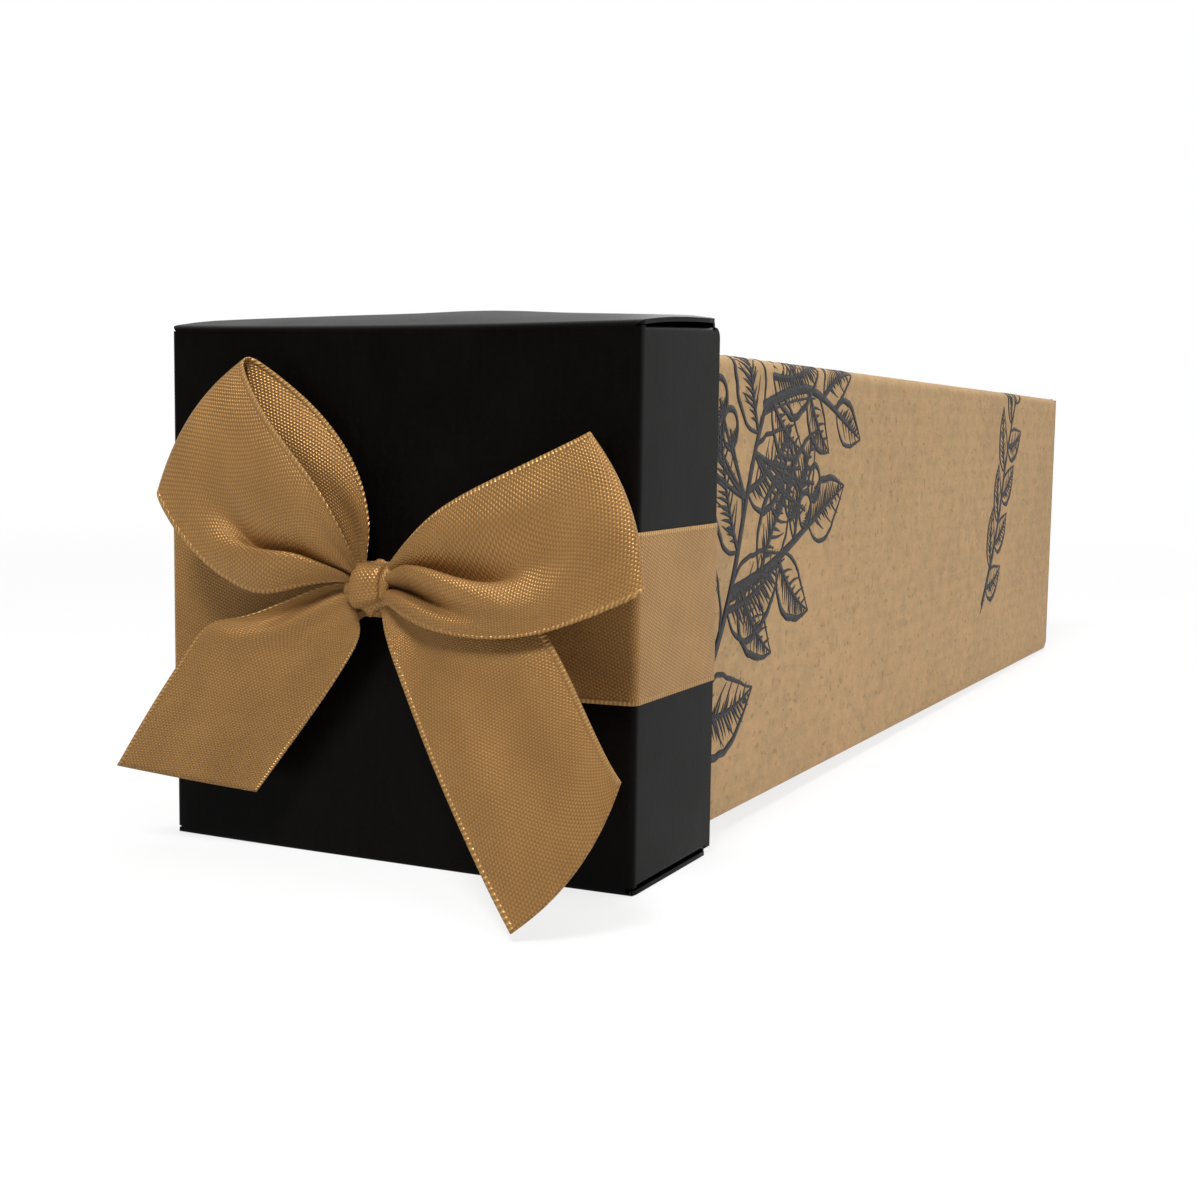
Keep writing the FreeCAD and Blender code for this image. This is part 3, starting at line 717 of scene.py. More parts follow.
def build_bottom():
    """The tuck flap that closes the far end, its tongue, and the two dust flaps behind it."""
    carton = sizes("bottle_box_carton")
    half = carton["width"] / 2
    board = carton["board"]
    far = carton["length"]
    top = carton["width"]
    root = board + FLAP_REST
    # The bottom flap, drawn flat with its outside up and its upper edge at +Y
    width = 2 * (half - FLAP_REST)
    height = top - root
    cuts = [
        ((0, height / 2 - MITRE_BACK, board / 2), (0, MITRE, -MITRE)),
        ((0, MITRE_BACK - height / 2, board / 2), (0, -MITRE, -MITRE)),
    ]
    bm = board_blank(carton, width, height, cuts)
    stand = Matrix.Rotation(-math.pi / 2, 4, "X") @ Matrix.Rotation(math.pi, 4, "Z")
    place = Matrix.Translation((0, far - board / 2, root + height / 2)) @ stand
    add_kraft("bottom_flap_board", bm, "bottom_flap", ["bottom_flap"], place)
    # The tongue, drawn flat with its outside up and its root at +Y
    tongue_width = 2 * (half - board - TONGUE_SIDE)
    tongue = carton["tongue"]
    bevel = (0, math.cos(TONGUE_BEVEL), -math.sin(TONGUE_BEVEL))
    cuts = [((0, tongue / 2 - TONGUE_ROOT, board / 2), bevel)]
    for side in (-1, 1):
        cuts += corner_cuts((side * tongue_width / 2, -tongue / 2), (side, -1), TONGUE_CORNER)
    bm = board_blank(carton, tongue_width, tongue, cuts)
    under = Matrix.Rotation(math.pi, 4, "Y")
    tilt = Matrix.Rotation(-TONGUE_LEAN, 4, "X")
    hang = Matrix.Translation((0, -tongue / 2, board / 2))
    place = Matrix.Translation((0, far, root)) @ tilt @ hang @ under
    add_kraft("tuck_tongue_board", bm, "tuck_tongue", ["tuck_tongue"], place)
    # The dust flaps, drawn flat with the outside up, the crease at +X and the top at +Y
    face = far - board - FLAP_REST
    reach = half - DUST_GAP
    depth = top - DUST_HIGH - DUST_LOW
    for side, turn in (("right", 1), ("left", -1)):
        cuts = [
            ((reach / 2, depth / 2, 0), (-math.sin(DUST_SLOPE), math.cos(DUST_SLOPE), 0)),
            ((DUST_CORNER - reach / 2, -depth / 2, 0), (-MITRE, -MITRE, 0)),
            ((reach / 2 - MITRE_BACK, 0, board / 2), (MITRE, 0, -MITRE)),
        ]
        bm = board_blank(carton, reach, depth, cuts)
        if turn < 0:
            bmesh.ops.scale(bm, vec=(-1, 1, 1), verts=bm.verts)
            bmesh.ops.reverse_faces(bm, faces=bm.faces[:])
        # Stood up so that its outside looks along +Y and its crease stays at this side
        stand = Matrix(((1, 0, 0, 0), (0, 0, 1, 0), (0, 1, 0, 0), (0, 0, 0, 1)))
        bmesh.ops.transform(bm, matrix=stand, verts=bm.verts)
        bmesh.ops.reverse_faces(bm, faces=bm.faces[:])
        middle = (turn * (half - reach / 2), face - board / 2, DUST_LOW + depth / 2)
        flap = f"dust_flap_{side}"
        add_kraft(f"{flap}_board", bm, flap, [flap], Matrix.Translation(middle))
        x = turn * half
        section = ((x, far - SLEEVE_STOP, 0), (x, face, 0), (x - turn * DUST_LAP, face, 0))
        crease_cover(
            f"dust_crease_{side}", section, FOLD_RADIUS, 2, (6, top - 5),
            (x, face - DUST_BEND, half), (x - turn * DUST_BEND, face, half),
        )
    section = ((0, far - SLEEVE_STOP, top), (0, far, top), (0, far, top - BOTTOM_LAP))
    crease_cover(
        "bottom_crease", section, FOLD_RADIUS, 0, (BOTTOM_SIDE - half, half - BOTTOM_SIDE),
        (0, far - BOTTOM_BEND, top), (0, far, top - BOTTOM_BEND),
    )
    back = Vector((0, -math.cos(TONGUE_LEAN), math.sin(TONGUE_LEAN))) * TONGUE_LAP
    corner = Vector((0, far, root))
    section = (corner + Vector((0, 0, TONGUE_LAP)), corner, corner + back)
    crease_cover(
        "tongue_crease", section, TONGUE_FOLD, 0, (-tongue_width / 2, tongue_width / 2),
        (0, far, root + TONGUE_LAP / 2), corner + back / 2,
    )


# The printed drawing


INK_LIFT = 0.035  # from the board to the middle of the film of ink
INK_CROWN = 0.03  # how far a stroke's middle stands above that, and its edges below
BERRY = 3.6  # radius


class Pen:
    """Draws strokes on the carton's skin, unrolled: down from the upper right crease, and along
    the carton from its mouth."""

    def __init__(self):
        self.curve = bpy.data.curves.new("strokes", "CURVE")
        self.curve.dimensions = "3D"
        self.curve.resolution_u = 3
        self.curve.bevel_depth = 1.0
        self.curve.bevel_resolution = 0
        self.curve.use_fill_caps = True

    def stroke(self, points, widths, smooth=True):
        """A stroke through points, whose width runs through the given widths."""
        spline = self.curve.splines.new("NURBS" if smooth else "POLY")
        spline.points.add(len(points) - 1)
        for i, (point, place) in enumerate(zip(spline.points, points)):
            share = i / (len(points) - 1) * (len(widths) - 1)
            k = min(int(share), len(widths) - 2)
            width = widths[k] + (widths[k + 1] - widths[k]) * (share - k)
            point.co = (place[0], place[1], 0, 1)
            point.radius = width / 2
        if smooth:
            spline.order_u = 3
            spline.use_endpoint_u = True

    def leaf(self, base, heading, long, wide, curl, chance, dark_side=1):
        """A broad leaf: its outline, its midrib, side veins and close hatching on one half."""
        rib = []
        parts = 8
        angle = math.radians(heading)
        spot = Vector(base)
        for _ in range(parts + 1):
            rib.append(spot.copy())
            spot += Vector((math.cos(angle), math.sin(angle))) * long / parts
            angle += math.radians(curl) / parts

        def side(share, turn):
            k = min(int(share * parts), parts - 1)
            here = rib[k].lerp(rib[k + 1], share * parts - k)
            along = (rib[k + 1] - rib[k]).normalized()
            normal = Vector((-along.y, along.x)) * turn
            half = wide / 2 * math.sin(math.pi * min(1.0, share * 1.02) ** 0.75) ** 0.9
            return here, along, normal, half

        self.stroke(rib, (1.5, 1.1, 0.4))
        for turn in (1, -1):
            dark = turn == dark_side
            outline = []
            count = 16
            for step in range(count + 1):
                here, along, normal, half = side(step / count, turn)
                wobble = 1 + 0.07 * chance.uniform(-1, 1)
                outline.append(here + normal * half * wobble)
            self.stroke(outline, (0.7, 1.5 if dark else 1.0, 1.4 if dark else 0.9, 0.4))
            count = int(long / 4.2)
            for step in range(1, count):
                here, along, normal, half = side(step / count, turn)
                tip = here + normal * half * 0.82 + along * half * 0.8
                bend = here + normal * half * 0.45 + along * half * 0.25
                self.stroke([here, bend, tip], (0.8, 0.6, 0.2))
            count = int(long / (1.25 if dark else 2.1))
            for step in range(2, count - 1):
                here, along, normal, half = side(step / count, turn)
                reach = half * chance.uniform(0.5, 0.9) * (1 if dark else 0.6)
                start = here + normal * 0.3
                tip = here + normal * reach + along * reach * 0.6
                middle = start.lerp(tip, 0.5) + along * reach * 0.08
                self.stroke([start, middle, tip], (0.85, 0.65, 0.12))

    def branch(self, points, count, leaf, chance):
        """A stalk with leaves on alternate sides and one at its tip."""
        self.stroke(points, (2.4, 2.0, 1.3))
        self.stroke([(x + 1.7, y - 1.2) for x, y in points[:-1]], (0.5, 0.7, 0.4))
        spots = [Vector(point) for point in points]
        for k in range(count + 1):
            share = (0.1 + 0.9 * k / count) * (len(spots) - 1)
            i = min(int(share), len(spots) - 2)
            here = spots[i].lerp(spots[i + 1], share - i)
            ahead = spots[i + 1] - spots[i]
            turn = (1 if k % 2 else -1) if k < count else 0
            heading = math.degrees(math.atan2(ahead.y, ahead.x)) + turn * chance.uniform(42, 62)
            long = leaf * chance.uniform(0.85, 1.1)
            self.leaf(here, heading, long, long * 0.5, -turn * 32, chance, turn or 1)

    def berry(self, centre, radius, chance):
        """A round berry with curved shading on its lower left."""
        ring = []
        count = 12
        for step in range(count + 1):
            angle = FULL_TURN * step / count
            grow = radius * (1 + 0.04 * chance.uniform(-1, 1))
            ring.append((centre[0] + grow * math.cos(angle), centre[1] + grow * math.sin(angle)))
        ring[-1] = ring[0]
        self.stroke(ring, (1.0, 1.3, 0.9))
        for k in range(4):
            bend = radius * (0.8 - 0.18 * k)
            half = 1.3 - 0.22 * k
            arc = []
            for step in range(5):
                angle = 0.6 + half * (step / 2 - 1)
                arc.append((centre[0] + bend * math.cos(angle), centre[1] + bend * math.sin(angle)))
            self.stroke(arc, (0.2, 1.0 - 0.16 * k, 0.2))

    def finish(self, name):
        """Flattens the strokes to a film of ink and wraps them on the carton's skin."""
        drawn = add_object("strokes", self.curve)
        mesh = bpy.data.meshes.new_from_object(drawn)
        bpy.data.objects.remove(drawn)
        bpy.data.curves.remove(self.curve)
        bm = bmesh.new()
        bm.from_mesh(mesh)
        bpy.data.meshes.remove(mesh)
        bmesh.ops.recalc_face_normals(bm, faces=bm.faces[:])
        carton = sizes("bottle_box_carton")
        for vert in bm.verts:
            film = INK_LIFT + INK_CROWN * max(-1.0, min(1.0, vert.co.z * 4))
            vert.co = on_skin(carton, vert.co.x, vert.co.y, film)
        bulge_carton(bm, carton)
        bmesh.ops.recalc_face_normals(bm, faces=bm.faces[:])
        add_piece(name, bm, "black_ink", "carton", place=CARTON_PLACE, sharp=180)


def on_skin(carton, down, along, lift):
    """A point on the carton: down from the middle of its upper right crease, and along it."""
    half = carton["width"] / 2
    radius = carton["crease"]
    bend = radius * math.pi / 4
    if down > bend:
        return Vector((half + lift, along, carton["width"] - radius - (down - bend)))
    if down < -bend:
        return Vector((half - radius - (-down - bend), along, carton["width"] + lift))
    turn = (down + bend) / radius
    reach = radius + lift
    x = half - radius + reach * math.sin(turn)
    z = carton["width"] - radius + reach * math.cos(turn)
    return Vector((x, along, z))


def build_print():
    """An engraved spray near the lid that runs over the upper crease, and a small twig far off."""
    chance = random.Random(5)
    pen = Pen()
    pen.branch([(66, 22), (54, 34), (40, 44), (24, 50), (8, 58), (-8, 72)], 7, 27, chance)
    pen.branch([(40, 44), (38, 58), (34, 72), (30, 84)], 4, 25, chance)
    pen.branch([(8, 58), (4, 74), (4, 88), (8, 100)], 4, 20, chance)
    for stalk, spots in (
        ((16, 54), ((24, 66), (18, 71), (25, 74), (19, 79), (27, 82), (22, 87))),
        ((24, 50), ((12, 42), (7, 37), (14, 34), (8, 29), (15, 26))),
    ):
        for spot in spots:
            middle = (Vector(stalk) + Vector(spot)) / 2 + Vector((2, 0))
            pen.stroke([stalk, middle, spot], (1.2, 0.9, 0.8))
        for spot in spots:
            pen.berry(spot, BERRY, chance)
    pen.finish("spray_print")
    pen = Pen()
    pen.branch([(58, 232), (46, 242), (32, 250), (16, 256), (2, 266)], 8, 19, chance)
    pen.finish("twig_print")


# The lid: one folded sheet, open towards +Y

LID_SLIT = 0.6  # height in which the upper fold is pressed down
UNDER_WALL = 1.1  # height of the side walls' lower edge
LOWER_FOLD = 0.5  # outside radius of the fold along the lower wall
ROLL_FOLD = 1.2  # and of the two folds of each rolled wall
ROLL_GAP = 2.5  # from the lid's outside to the rolled layer's inside face
ROLL_START = -13.8
ROLL_INSET = 0.9  # how much narrower the rolled layers are at each side
ROLL_DEEP = 1.25  # how far inside the upper and lower walls the rolled layers begin
ROLL_FRONT = 1.6  # how far behind the lid's front they can begin
ROLL_RIM = 1.3  # how far before the rim their folds begin
RIM_LINE = 2.4  # from the rim to the last line along the upper and lower walls
FLAP_START, FLAP_END = -13.9, 13.4  # of the corner flaps, along the box
FLAP_REACH = 28.0
FLAP_FOLD = 0.75
FLAP_TAPER = 0.72  # how wide a corner flap's tip is for its root
UPPER_LOW = 83.6  # height above which the upper wall springs up between the corners
CORNER_REACH = 6  # how far in from the sides that holds in full
SIDE_RISE = (50, 84)  # heights over which the side walls rise with it
LIFT_TOP = 12  # height above which the side walls don't rise with their lower corners
SAG_REACH, SAG_LOW = 12, 60  # how far back and how low the sag shows
CROWN_REACH = 26  # how far back from the front the crown reaches its full height
PEAK_AT, PEAK_WIDTH = 4, 10
DROOP_REACH = 5  # how far in from its corner the upper wall hangs
END_BULGE = 0.15  # how far the end panel and the band stand proud in the middle


def turn_edges(bm, edges, centre, axis, angle):
    """Bends edges round an axis as a fold, and gives the edges it ends on."""
    made = bmesh.ops.spin(
        bm, geom=edges, cent=centre, axis=axis, dvec=(0, 0, 0), angle=angle, steps=4
    )
    return only(bmesh.types.BMEdge, made["geom_last"])


def edges_within(bm, low, high):
    """The open edges that lie inside a box."""
    def inside(point):
        return all(a - 0.02 <= p <= b + 0.02 for a, p, b in zip(low, point, high))

    return [e for e in bm.edges if e.is_boundary and inside(e.verts[0].co) and inside(e.verts[1].co)]


def build_lid():
    """The lid, folded from one sheet: rolled walls above and below, side walls with corner flaps."""
    lid = sizes("bottle_box_lid")
    half = lid["width"] / 2
    front, rim = -lid["depth"] / 2, lid["depth"] / 2
    top = lid["width"] + LID_SLIT
    wall_top = top - lid["upper_fold"]
    fold = lid["fold"]
    bm = bmesh.new()
    section = (
        (ROLL_START, lid["width"] - ROLL_GAP), (rim, lid["width"] - ROLL_GAP), (rim, top),
        (rim - RIM_LINE, top), (front, top), (front, 0), (rim - RIM_LINE, 0), (rim, 0), (rim, ROLL_GAP),
        (ROLL_START, ROLL_GAP),
    )
    strip = add_chain(bm, [(-half, y, z) for y, z in section])
    turns = [strip[k] for k in (1, 2, 7, 8)]
    upper_fold, lower_fold = strip[4], strip[5]
    round_verts(bm, turns, ROLL_FOLD)
    round_verts(bm, [upper_fold], lid["upper_fold"])
    round_verts(bm, [lower_fold], LOWER_FOLD)
    extrude(bm, bm.edges[:], (2 * half, 0, 0))
    for vert in bm.verts:
        rolled = vert.co.y > front + ROLL_FRONT and ROLL_DEEP < vert.co.z < top - ROLL_DEEP
        if vert.co.y > rim - ROLL_RIM or rolled:
            vert.co.x -= math.copysign(ROLL_INSET, vert.co.x)
    seam = half - fold
    slice_at(bm, 0, [-seam, *[half * k / 10 for k in range(-9, 10)], seam])
    slice_at(bm, 2, (UNDER_WALL, 12, 24, 36, 48, 60, 72, wall_top))
    drop_faces(bm, lambda c: abs(c.x) > seam and c.y < front + 0.01 and UNDER_WALL < c.z < wall_top)
    for side in (-1, 1):
        edge = (side * seam, front)
        edges = edges_within(bm, (*edge, UNDER_WALL), (*edge, wall_top))
        centre = (side * seam, front + fold, 0)
        turned = turn_edges(bm, edges, centre, (0, 0, 1), side * math.pi / 2)
        extrude(bm, turned, (0, lid["depth"] - fold, 0))
    corners = [
        v for v in bm.verts
        if abs(abs(v.co.x) - half) < 0.01 and v.co.y > rim - 0.01 and abs(v.co.z - wall_top) < 0.01
    ]
    round_verts(bm, corners, lid["corner"], 5)
    slice_at(bm, 1, (FLAP_START, -9, -4, 2, 7, 11, FLAP_END))
    levels = (UNDER_WALL + FLAP_FOLD, wall_top - FLAP_FOLD)
    slice_at(bm, 2, levels)

    def root(c):
        beyond = c.z < levels[0] or c.z > levels[1]
        return abs(c.x) > half - 0.05 and FLAP_START < c.y < FLAP_END and beyond and (
            UNDER_WALL < c.z < wall_top
        )

    drop_faces(bm, root)
    for side in (-1, 1):
        for level, up in zip(levels, (-1, 1)):
            edges = edges_within(
                bm, (side * half, FLAP_START, level), (side * half, FLAP_END, level)
            )
            centre = (side * (half - FLAP_FOLD), 0, level)
            turned = turn_edges(bm, edges, centre, (0, 1, 0), -side * up * math.pi / 2)
            for tip in extrude(bm, turned, (-side * FLAP_REACH, 0, 0)):
                tip.co.y *= FLAP_TAPER
    face_towards(bm, Vector((0, -1, 0)), lambda c: c.y < front + 0.1)
    shape_lid(bm, lid, front, top)
    bmesh.ops.remove_doubles(bm, verts=bm.verts[:], dist=0.01)
    thicken(bm, lid["board"])
    levels, sides = ("upper", "lower"), ("right", "left")
    nodes = [
        "lid_end_panel",
        *[f"lid_{side}_wall" for side in levels + sides],
        *[f"lid_{level}_roll" for level in levels],
        *[f"corner_flap_{level}_{side}" for level in levels for side in sides],
    ]
    add_piece("lid_tray", bm, "black_board", "lid", nodes, sharp=50)


def shape_lid(bm, lid, front, top):
    """Bends the folded sheet: an upper wall that springs up towards the rim and is crowned, round
    front corners, and a lower wall whose corners stand off the table."""
    half, fold = lid["width"] / 2, lid["fold"]
    under = UNDER_WALL + 0.2
    wall_top = top - lid["upper_fold"]
    for vert in bm.verts:
        x, y, z = vert.co
        across = x / half
        if abs(across) > 0.9999 and y < front + fold:
            short = math.sqrt(max(0.0, fold**2 - (front + fold - y) ** 2))
            vert.co.x = math.copysign(half - fold + short, x)
        back = (y - front) / lid["depth"]
        eased = 0.55 * back + 0.45 * (1 - (1 - back) ** 3)
        inwards = smoothstep(half - abs(x), 0, CORNER_REACH)
        upper = inwards * smoothstep(z, UPPER_LOW, top) + (1 - inwards) * smoothstep(z, wall_top, top)
        vert.co.z += (lid["spring"] - lid["tilt"] * across) * eased * upper
        vert.co.z += lid["spring"] / 2 * back * smoothstep(z, *SIDE_RISE) * (1 - upper)
        vert.co.z -= LID_SLIT * max(0.0, (z - wall_top) / lid["upper_fold"])
        sag = lid["sag"] * (1 - across**2) * (1 - smoothstep(y, front, front + SAG_REACH))
        vert.co.z -= sag * smoothstep(z, SAG_LOW, wall_top)
        if z > top - 1.0:
            peak = lid["peak"] * math.exp(-(((x - PEAK_AT) / PEAK_WIDTH) ** 2))
            crown = lid["crown"] * (1 - across**2) + peak
            vert.co.z += crown * smoothstep(y, front, front + CROWN_REACH)
            vert.co.z -= lid["droop"] * back * max(0.0, (x - half) / DROOP_REACH + 1) ** 2
        if z < under:
            vert.co.z += lid["lift"] * abs(across) ** 3
        elif abs(across) > 0.97:
            vert.co.z += lid["lift"] * (1 - smoothstep(z, under, LIFT_TOP))
        if y < front + 0.01:
            lift = (1 - across**2) * (1 - (2 * z / top - 1) ** 2)
            vert.co.y -= END_BULGE * max(0.0, lift)


# The ribbon


def lay_weave(bm, place_of):
    """Gives a ribbon its map in millimetres: across from 0 at one edge, and along."""
    layer = bm.loops.layers.uv.new("ribbon")
    for face in bm.faces:
        for loop in face.loops:
            loop[layer].uv = place_of(loop.vert, face)


def add_cloth(piece, thickness, side, levels=0):
    """Smooths a ribbon's surface and gives it its thickness."""
    if levels:
        smooth = piece.modifiers.new("smooth", "SUBSURF")
        smooth.levels = levels
        smooth.render_levels = levels
        smooth.boundary_smooth = "PRESERVE_CORNERS"
    body = piece.modifiers.new("thickness", "SOLIDIFY")
    body.thickness = thickness * MM
    body.offset = side


def knot_place():
    """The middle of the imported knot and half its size, in millimetres."""
    low, high = cad_box("knot_wrap")
    return (low + high) / 2, (high - low) / 2


GATHER_NEAR = 3.4  # from the lid's middle to where the knot holds the band together
GATHER_FAR = 16.0  # and to where the band has its full width
GATHERED = 4.3  # half the band's height at the knot
BAND_SLACK = 0.8  # how far its lower edge hangs below its place
BAND_TILT = 1.2  # how much lower the band lies at the left than at the right
PLEAT_PITCH, PLEAT_DEPTH = 6.25, 0.9  # of the pleats beside the knot
KNOT_PULL = 1.4  # how far the knot pulls the band off the lid
BAND_PROUD = 0.1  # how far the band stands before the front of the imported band
BAND_FOLD = 0.6  # radius of its folds at the rim
TURNED_IN = 12  # how far its ends run back behind the rim
OVER_RIM = 1.3  # length of ribbon that runs over the rim


def gather_band(vert, knot, low, high):
    """Draws the band together towards the knot, in pleats."""
    x, _, z = vert.co
    share = min(1.0, max(0.0, (abs(x) - GATHER_NEAR) / (GATHER_FAR - GATHER_NEAR)))
    share = 0.5 * share + 0.5 * smoothstep(share, 0, 1)
    reach = high - knot if z > knot else knot - low
    vert.co.z = knot + (z - knot) * (share + (1 - share) * GATHERED / reach)
    pleat = 0.5 + 0.5 * math.sin(FULL_TURN * (z - low) / PLEAT_PITCH)
    vert.co.y -= (PLEAT_DEPTH * pleat + KNOT_PULL * (1 - share)) * (1 - share)


def build_band():
    """The band across the lid's end, along both side walls and turned in behind the rim."""
    lid = sizes("bottle_box_lid")
    ribbon = sizes("bottle_box_ribbon")
    low, high = cad_box("ribbon_band")
    inner = lid["width"] / 2 - lid["board"] - ribbon["thickness"]
    turned_in = lid["depth"] / 2 - TURNED_IN
    front = low.y - BAND_PROUD
    right = [(inner, turned_in), (inner, high.y), (high.x, high.y), (high.x, front)]
    left = [(-x, y) for x, y in reversed(right)]
    bm = bmesh.new()
    verts = add_chain(bm, [(x, y, low.z) for x, y in right + left])
    round_verts(bm, [verts[1], verts[2], verts[5], verts[6]], BAND_FOLD, 3)
    corners = [v for v in bm.verts if abs(v.co.y - front) < 0.01]
    round_verts(bm, corners, lid["fold"] + ribbon["thickness"], 5)
    extrude(bm, bm.edges[:], (0, 0, ribbon["width"]))
    slice_at(bm, 2, [low.z + ribbon["width"] * k / 24 for k in range(1, 24)])
    gathers = [GATHER_NEAR + (GATHER_FAR - GATHER_NEAR) * k / 8 for k in range(9)]
    slice_at(bm, 0, [*gathers, *[-x for x in gathers], 0, 24, 34, -24, -34])
    slice_at(bm, 1, (-8, 0, 8))
    face_towards(bm, Vector((0, -1, 0)), lambda c: c.y < low.y + 0.1)
    side_length = high.y - low.y

    def place_of(vert, face):
        x, y, z = vert.co
        if abs(x) < high.x - 0.9 and y > turned_in - 0.1:
            along = high.x + side_length + OVER_RIM + (high.y - y)
        else:
            along = min(abs(x), high.x) + max(0.0, y - low.y)
        return z - low.z, math.copysign(along, x)

    lay_weave(bm, place_of)
    knot = knot_place()[0].z
    for vert in bm.verts:
        x, y, z = vert.co
        vert.co.z -= BAND_SLACK * (high.z - z) / ribbon["width"]
        vert.co.z -= BAND_TILT * (1 - x / high.x) / 2
        if y < low.y + 0.3:
            vert.co.y -= END_BULGE * max(0.0, 1 - (2 * x / lid["width"]) ** 2)
            if abs(x) < GATHER_FAR:
                gather_band(vert, knot, low.z, high.z)
    piece = add_piece("satin_band", bm, "satin_ribbon", "lid", ["ribbon_band"])
    add_cloth(piece, ribbon["thickness"], -1)


# A station of the bow's ribbon is a line across it. First come its two ends, each as a distance
# from the ribbon's root at the knot: to the right, outwards from the lid and upwards. Then comes
# how the ribbon lies between them: for seven places across, the share of the way and how far it
# stands out. Where a share is smaller than the one before it, the ribbon is folded over itself.
# Last comes how far the line is bent away from the root, where it is.


def lie(*outs):
    """Seven even places across the ribbon that stand out by these distances."""
    return tuple(((k + 1) / 8, out) for k, out in enumerate(outs))


def arch(height):
    return lie(*(height * 4 * k / 8 * (1 - k / 8) for k in range(1, 8)))


LEFT_LOOP = (
    ((2.7, 2.0, 2.8), (1.8, 0.8, 0.0), lie(0.3, -0.3, 0.3, -0.3, -0.5, 0.4, 0.3)),
    ((3.1, 3.1, 5.1), (0.6, 1.3, 1.4), ((0.12, 0.5), (0.28, -0.5), (0.42, 0.6), (0.56, -0.3),
     (0.80, -1.3), (0.66, 0.9), (0.86, 0.7))),
    ((2.1, 6.0, 10.7), (-3.5, 3.2, 1.0), ((0.14, 0.8), (0.30, 0.3), (0.46, 1.0), (0.62, 0.5),
     (0.98, -3.4), (0.56, 2.2), (0.86, 1.8))),
    ((-0.9, 7.5, 16.5), (-8.5, 4.2, -0.3), ((0.14, 0.8), (0.29, 1.0), (0.44, 1.2), (0.58, 0.6),
     (0.96, -4.8), (0.50, 3.0), (0.82, 2.4))),
    ((-6.0, 7.0, 21.4), (-13.9, 5.2, -1.9), ((0.14, 0.8), (0.28, 1.2), (0.42, 1.3), (0.57, 0.9),
     (0.88, -4.2), (0.58, 2.4), (0.84, 2.4))),
    ((-11.3, 5.8, 26.3), (-21.6, 6.3, 2.0), ((0.14, 0.7), (0.28, 1.1), (0.42, 1.1), (0.56, 0.7),
     (0.68, -1.0), (0.78, 0.2), (0.89, 1.0))),
    ((-15.7, 4.2, 31.3), (-27.2, 7.0, 6.8), arch(0.6), 1.2),
    ((-18.8, 2.2, 35.1), (-31.1, 7.0, 11.9), arch(0.4), 2.4),
    ((-18.5, 1.0, 36.1), (-33.3, 5.8, 14.5), arch(0.1), 2.8),
    ((-17.2, -0.3, 35.5), (-32.3, 4.6, 15.0), arch(0.0), 2.6),
    ((-11.9, -1.6, 31.6), (-28.0, 2.4, 13.0), lie(0.8, 1.2, 1.1, 0.7, 0.3, 0.0, 0.0), 1.4),
    ((-6.8, -2.4, 27.4), (-22.2, 0.9, 9.1), lie(1.3, 1.9, 1.7, 1.0, 0.3, -0.2, -0.1), 0.4),
    ((-1.7, -2.4, 21.8), (-16.4, -0.6, 5.2), lie(1.4, 2.0, 1.4, 0.3, -0.3, 0.2, 0.1)),
    ((1.4, -2.4, 15.9), (-10.2, -1.4, 3.0), lie(1.6, 0.4, 1.4, -0.4, 0.6, -0.2, 0.2)),
    ((2.8, -2.2, 9.1), (-5.7, -1.8, 1.6), lie(0.6, -0.8, 0.7, -0.6, 0.5, -0.3, 0.3)),
    ((1.9, -2.0, 4.4), (-1.9, -2.4, 0.5), lie(0.3, -0.4, 0.4, -0.3, 0.3, -0.2, 0.2)),
    ((2.6, -1.4, 2.4), (1.2, -1.6, 0.0), arch(0.2)),
)
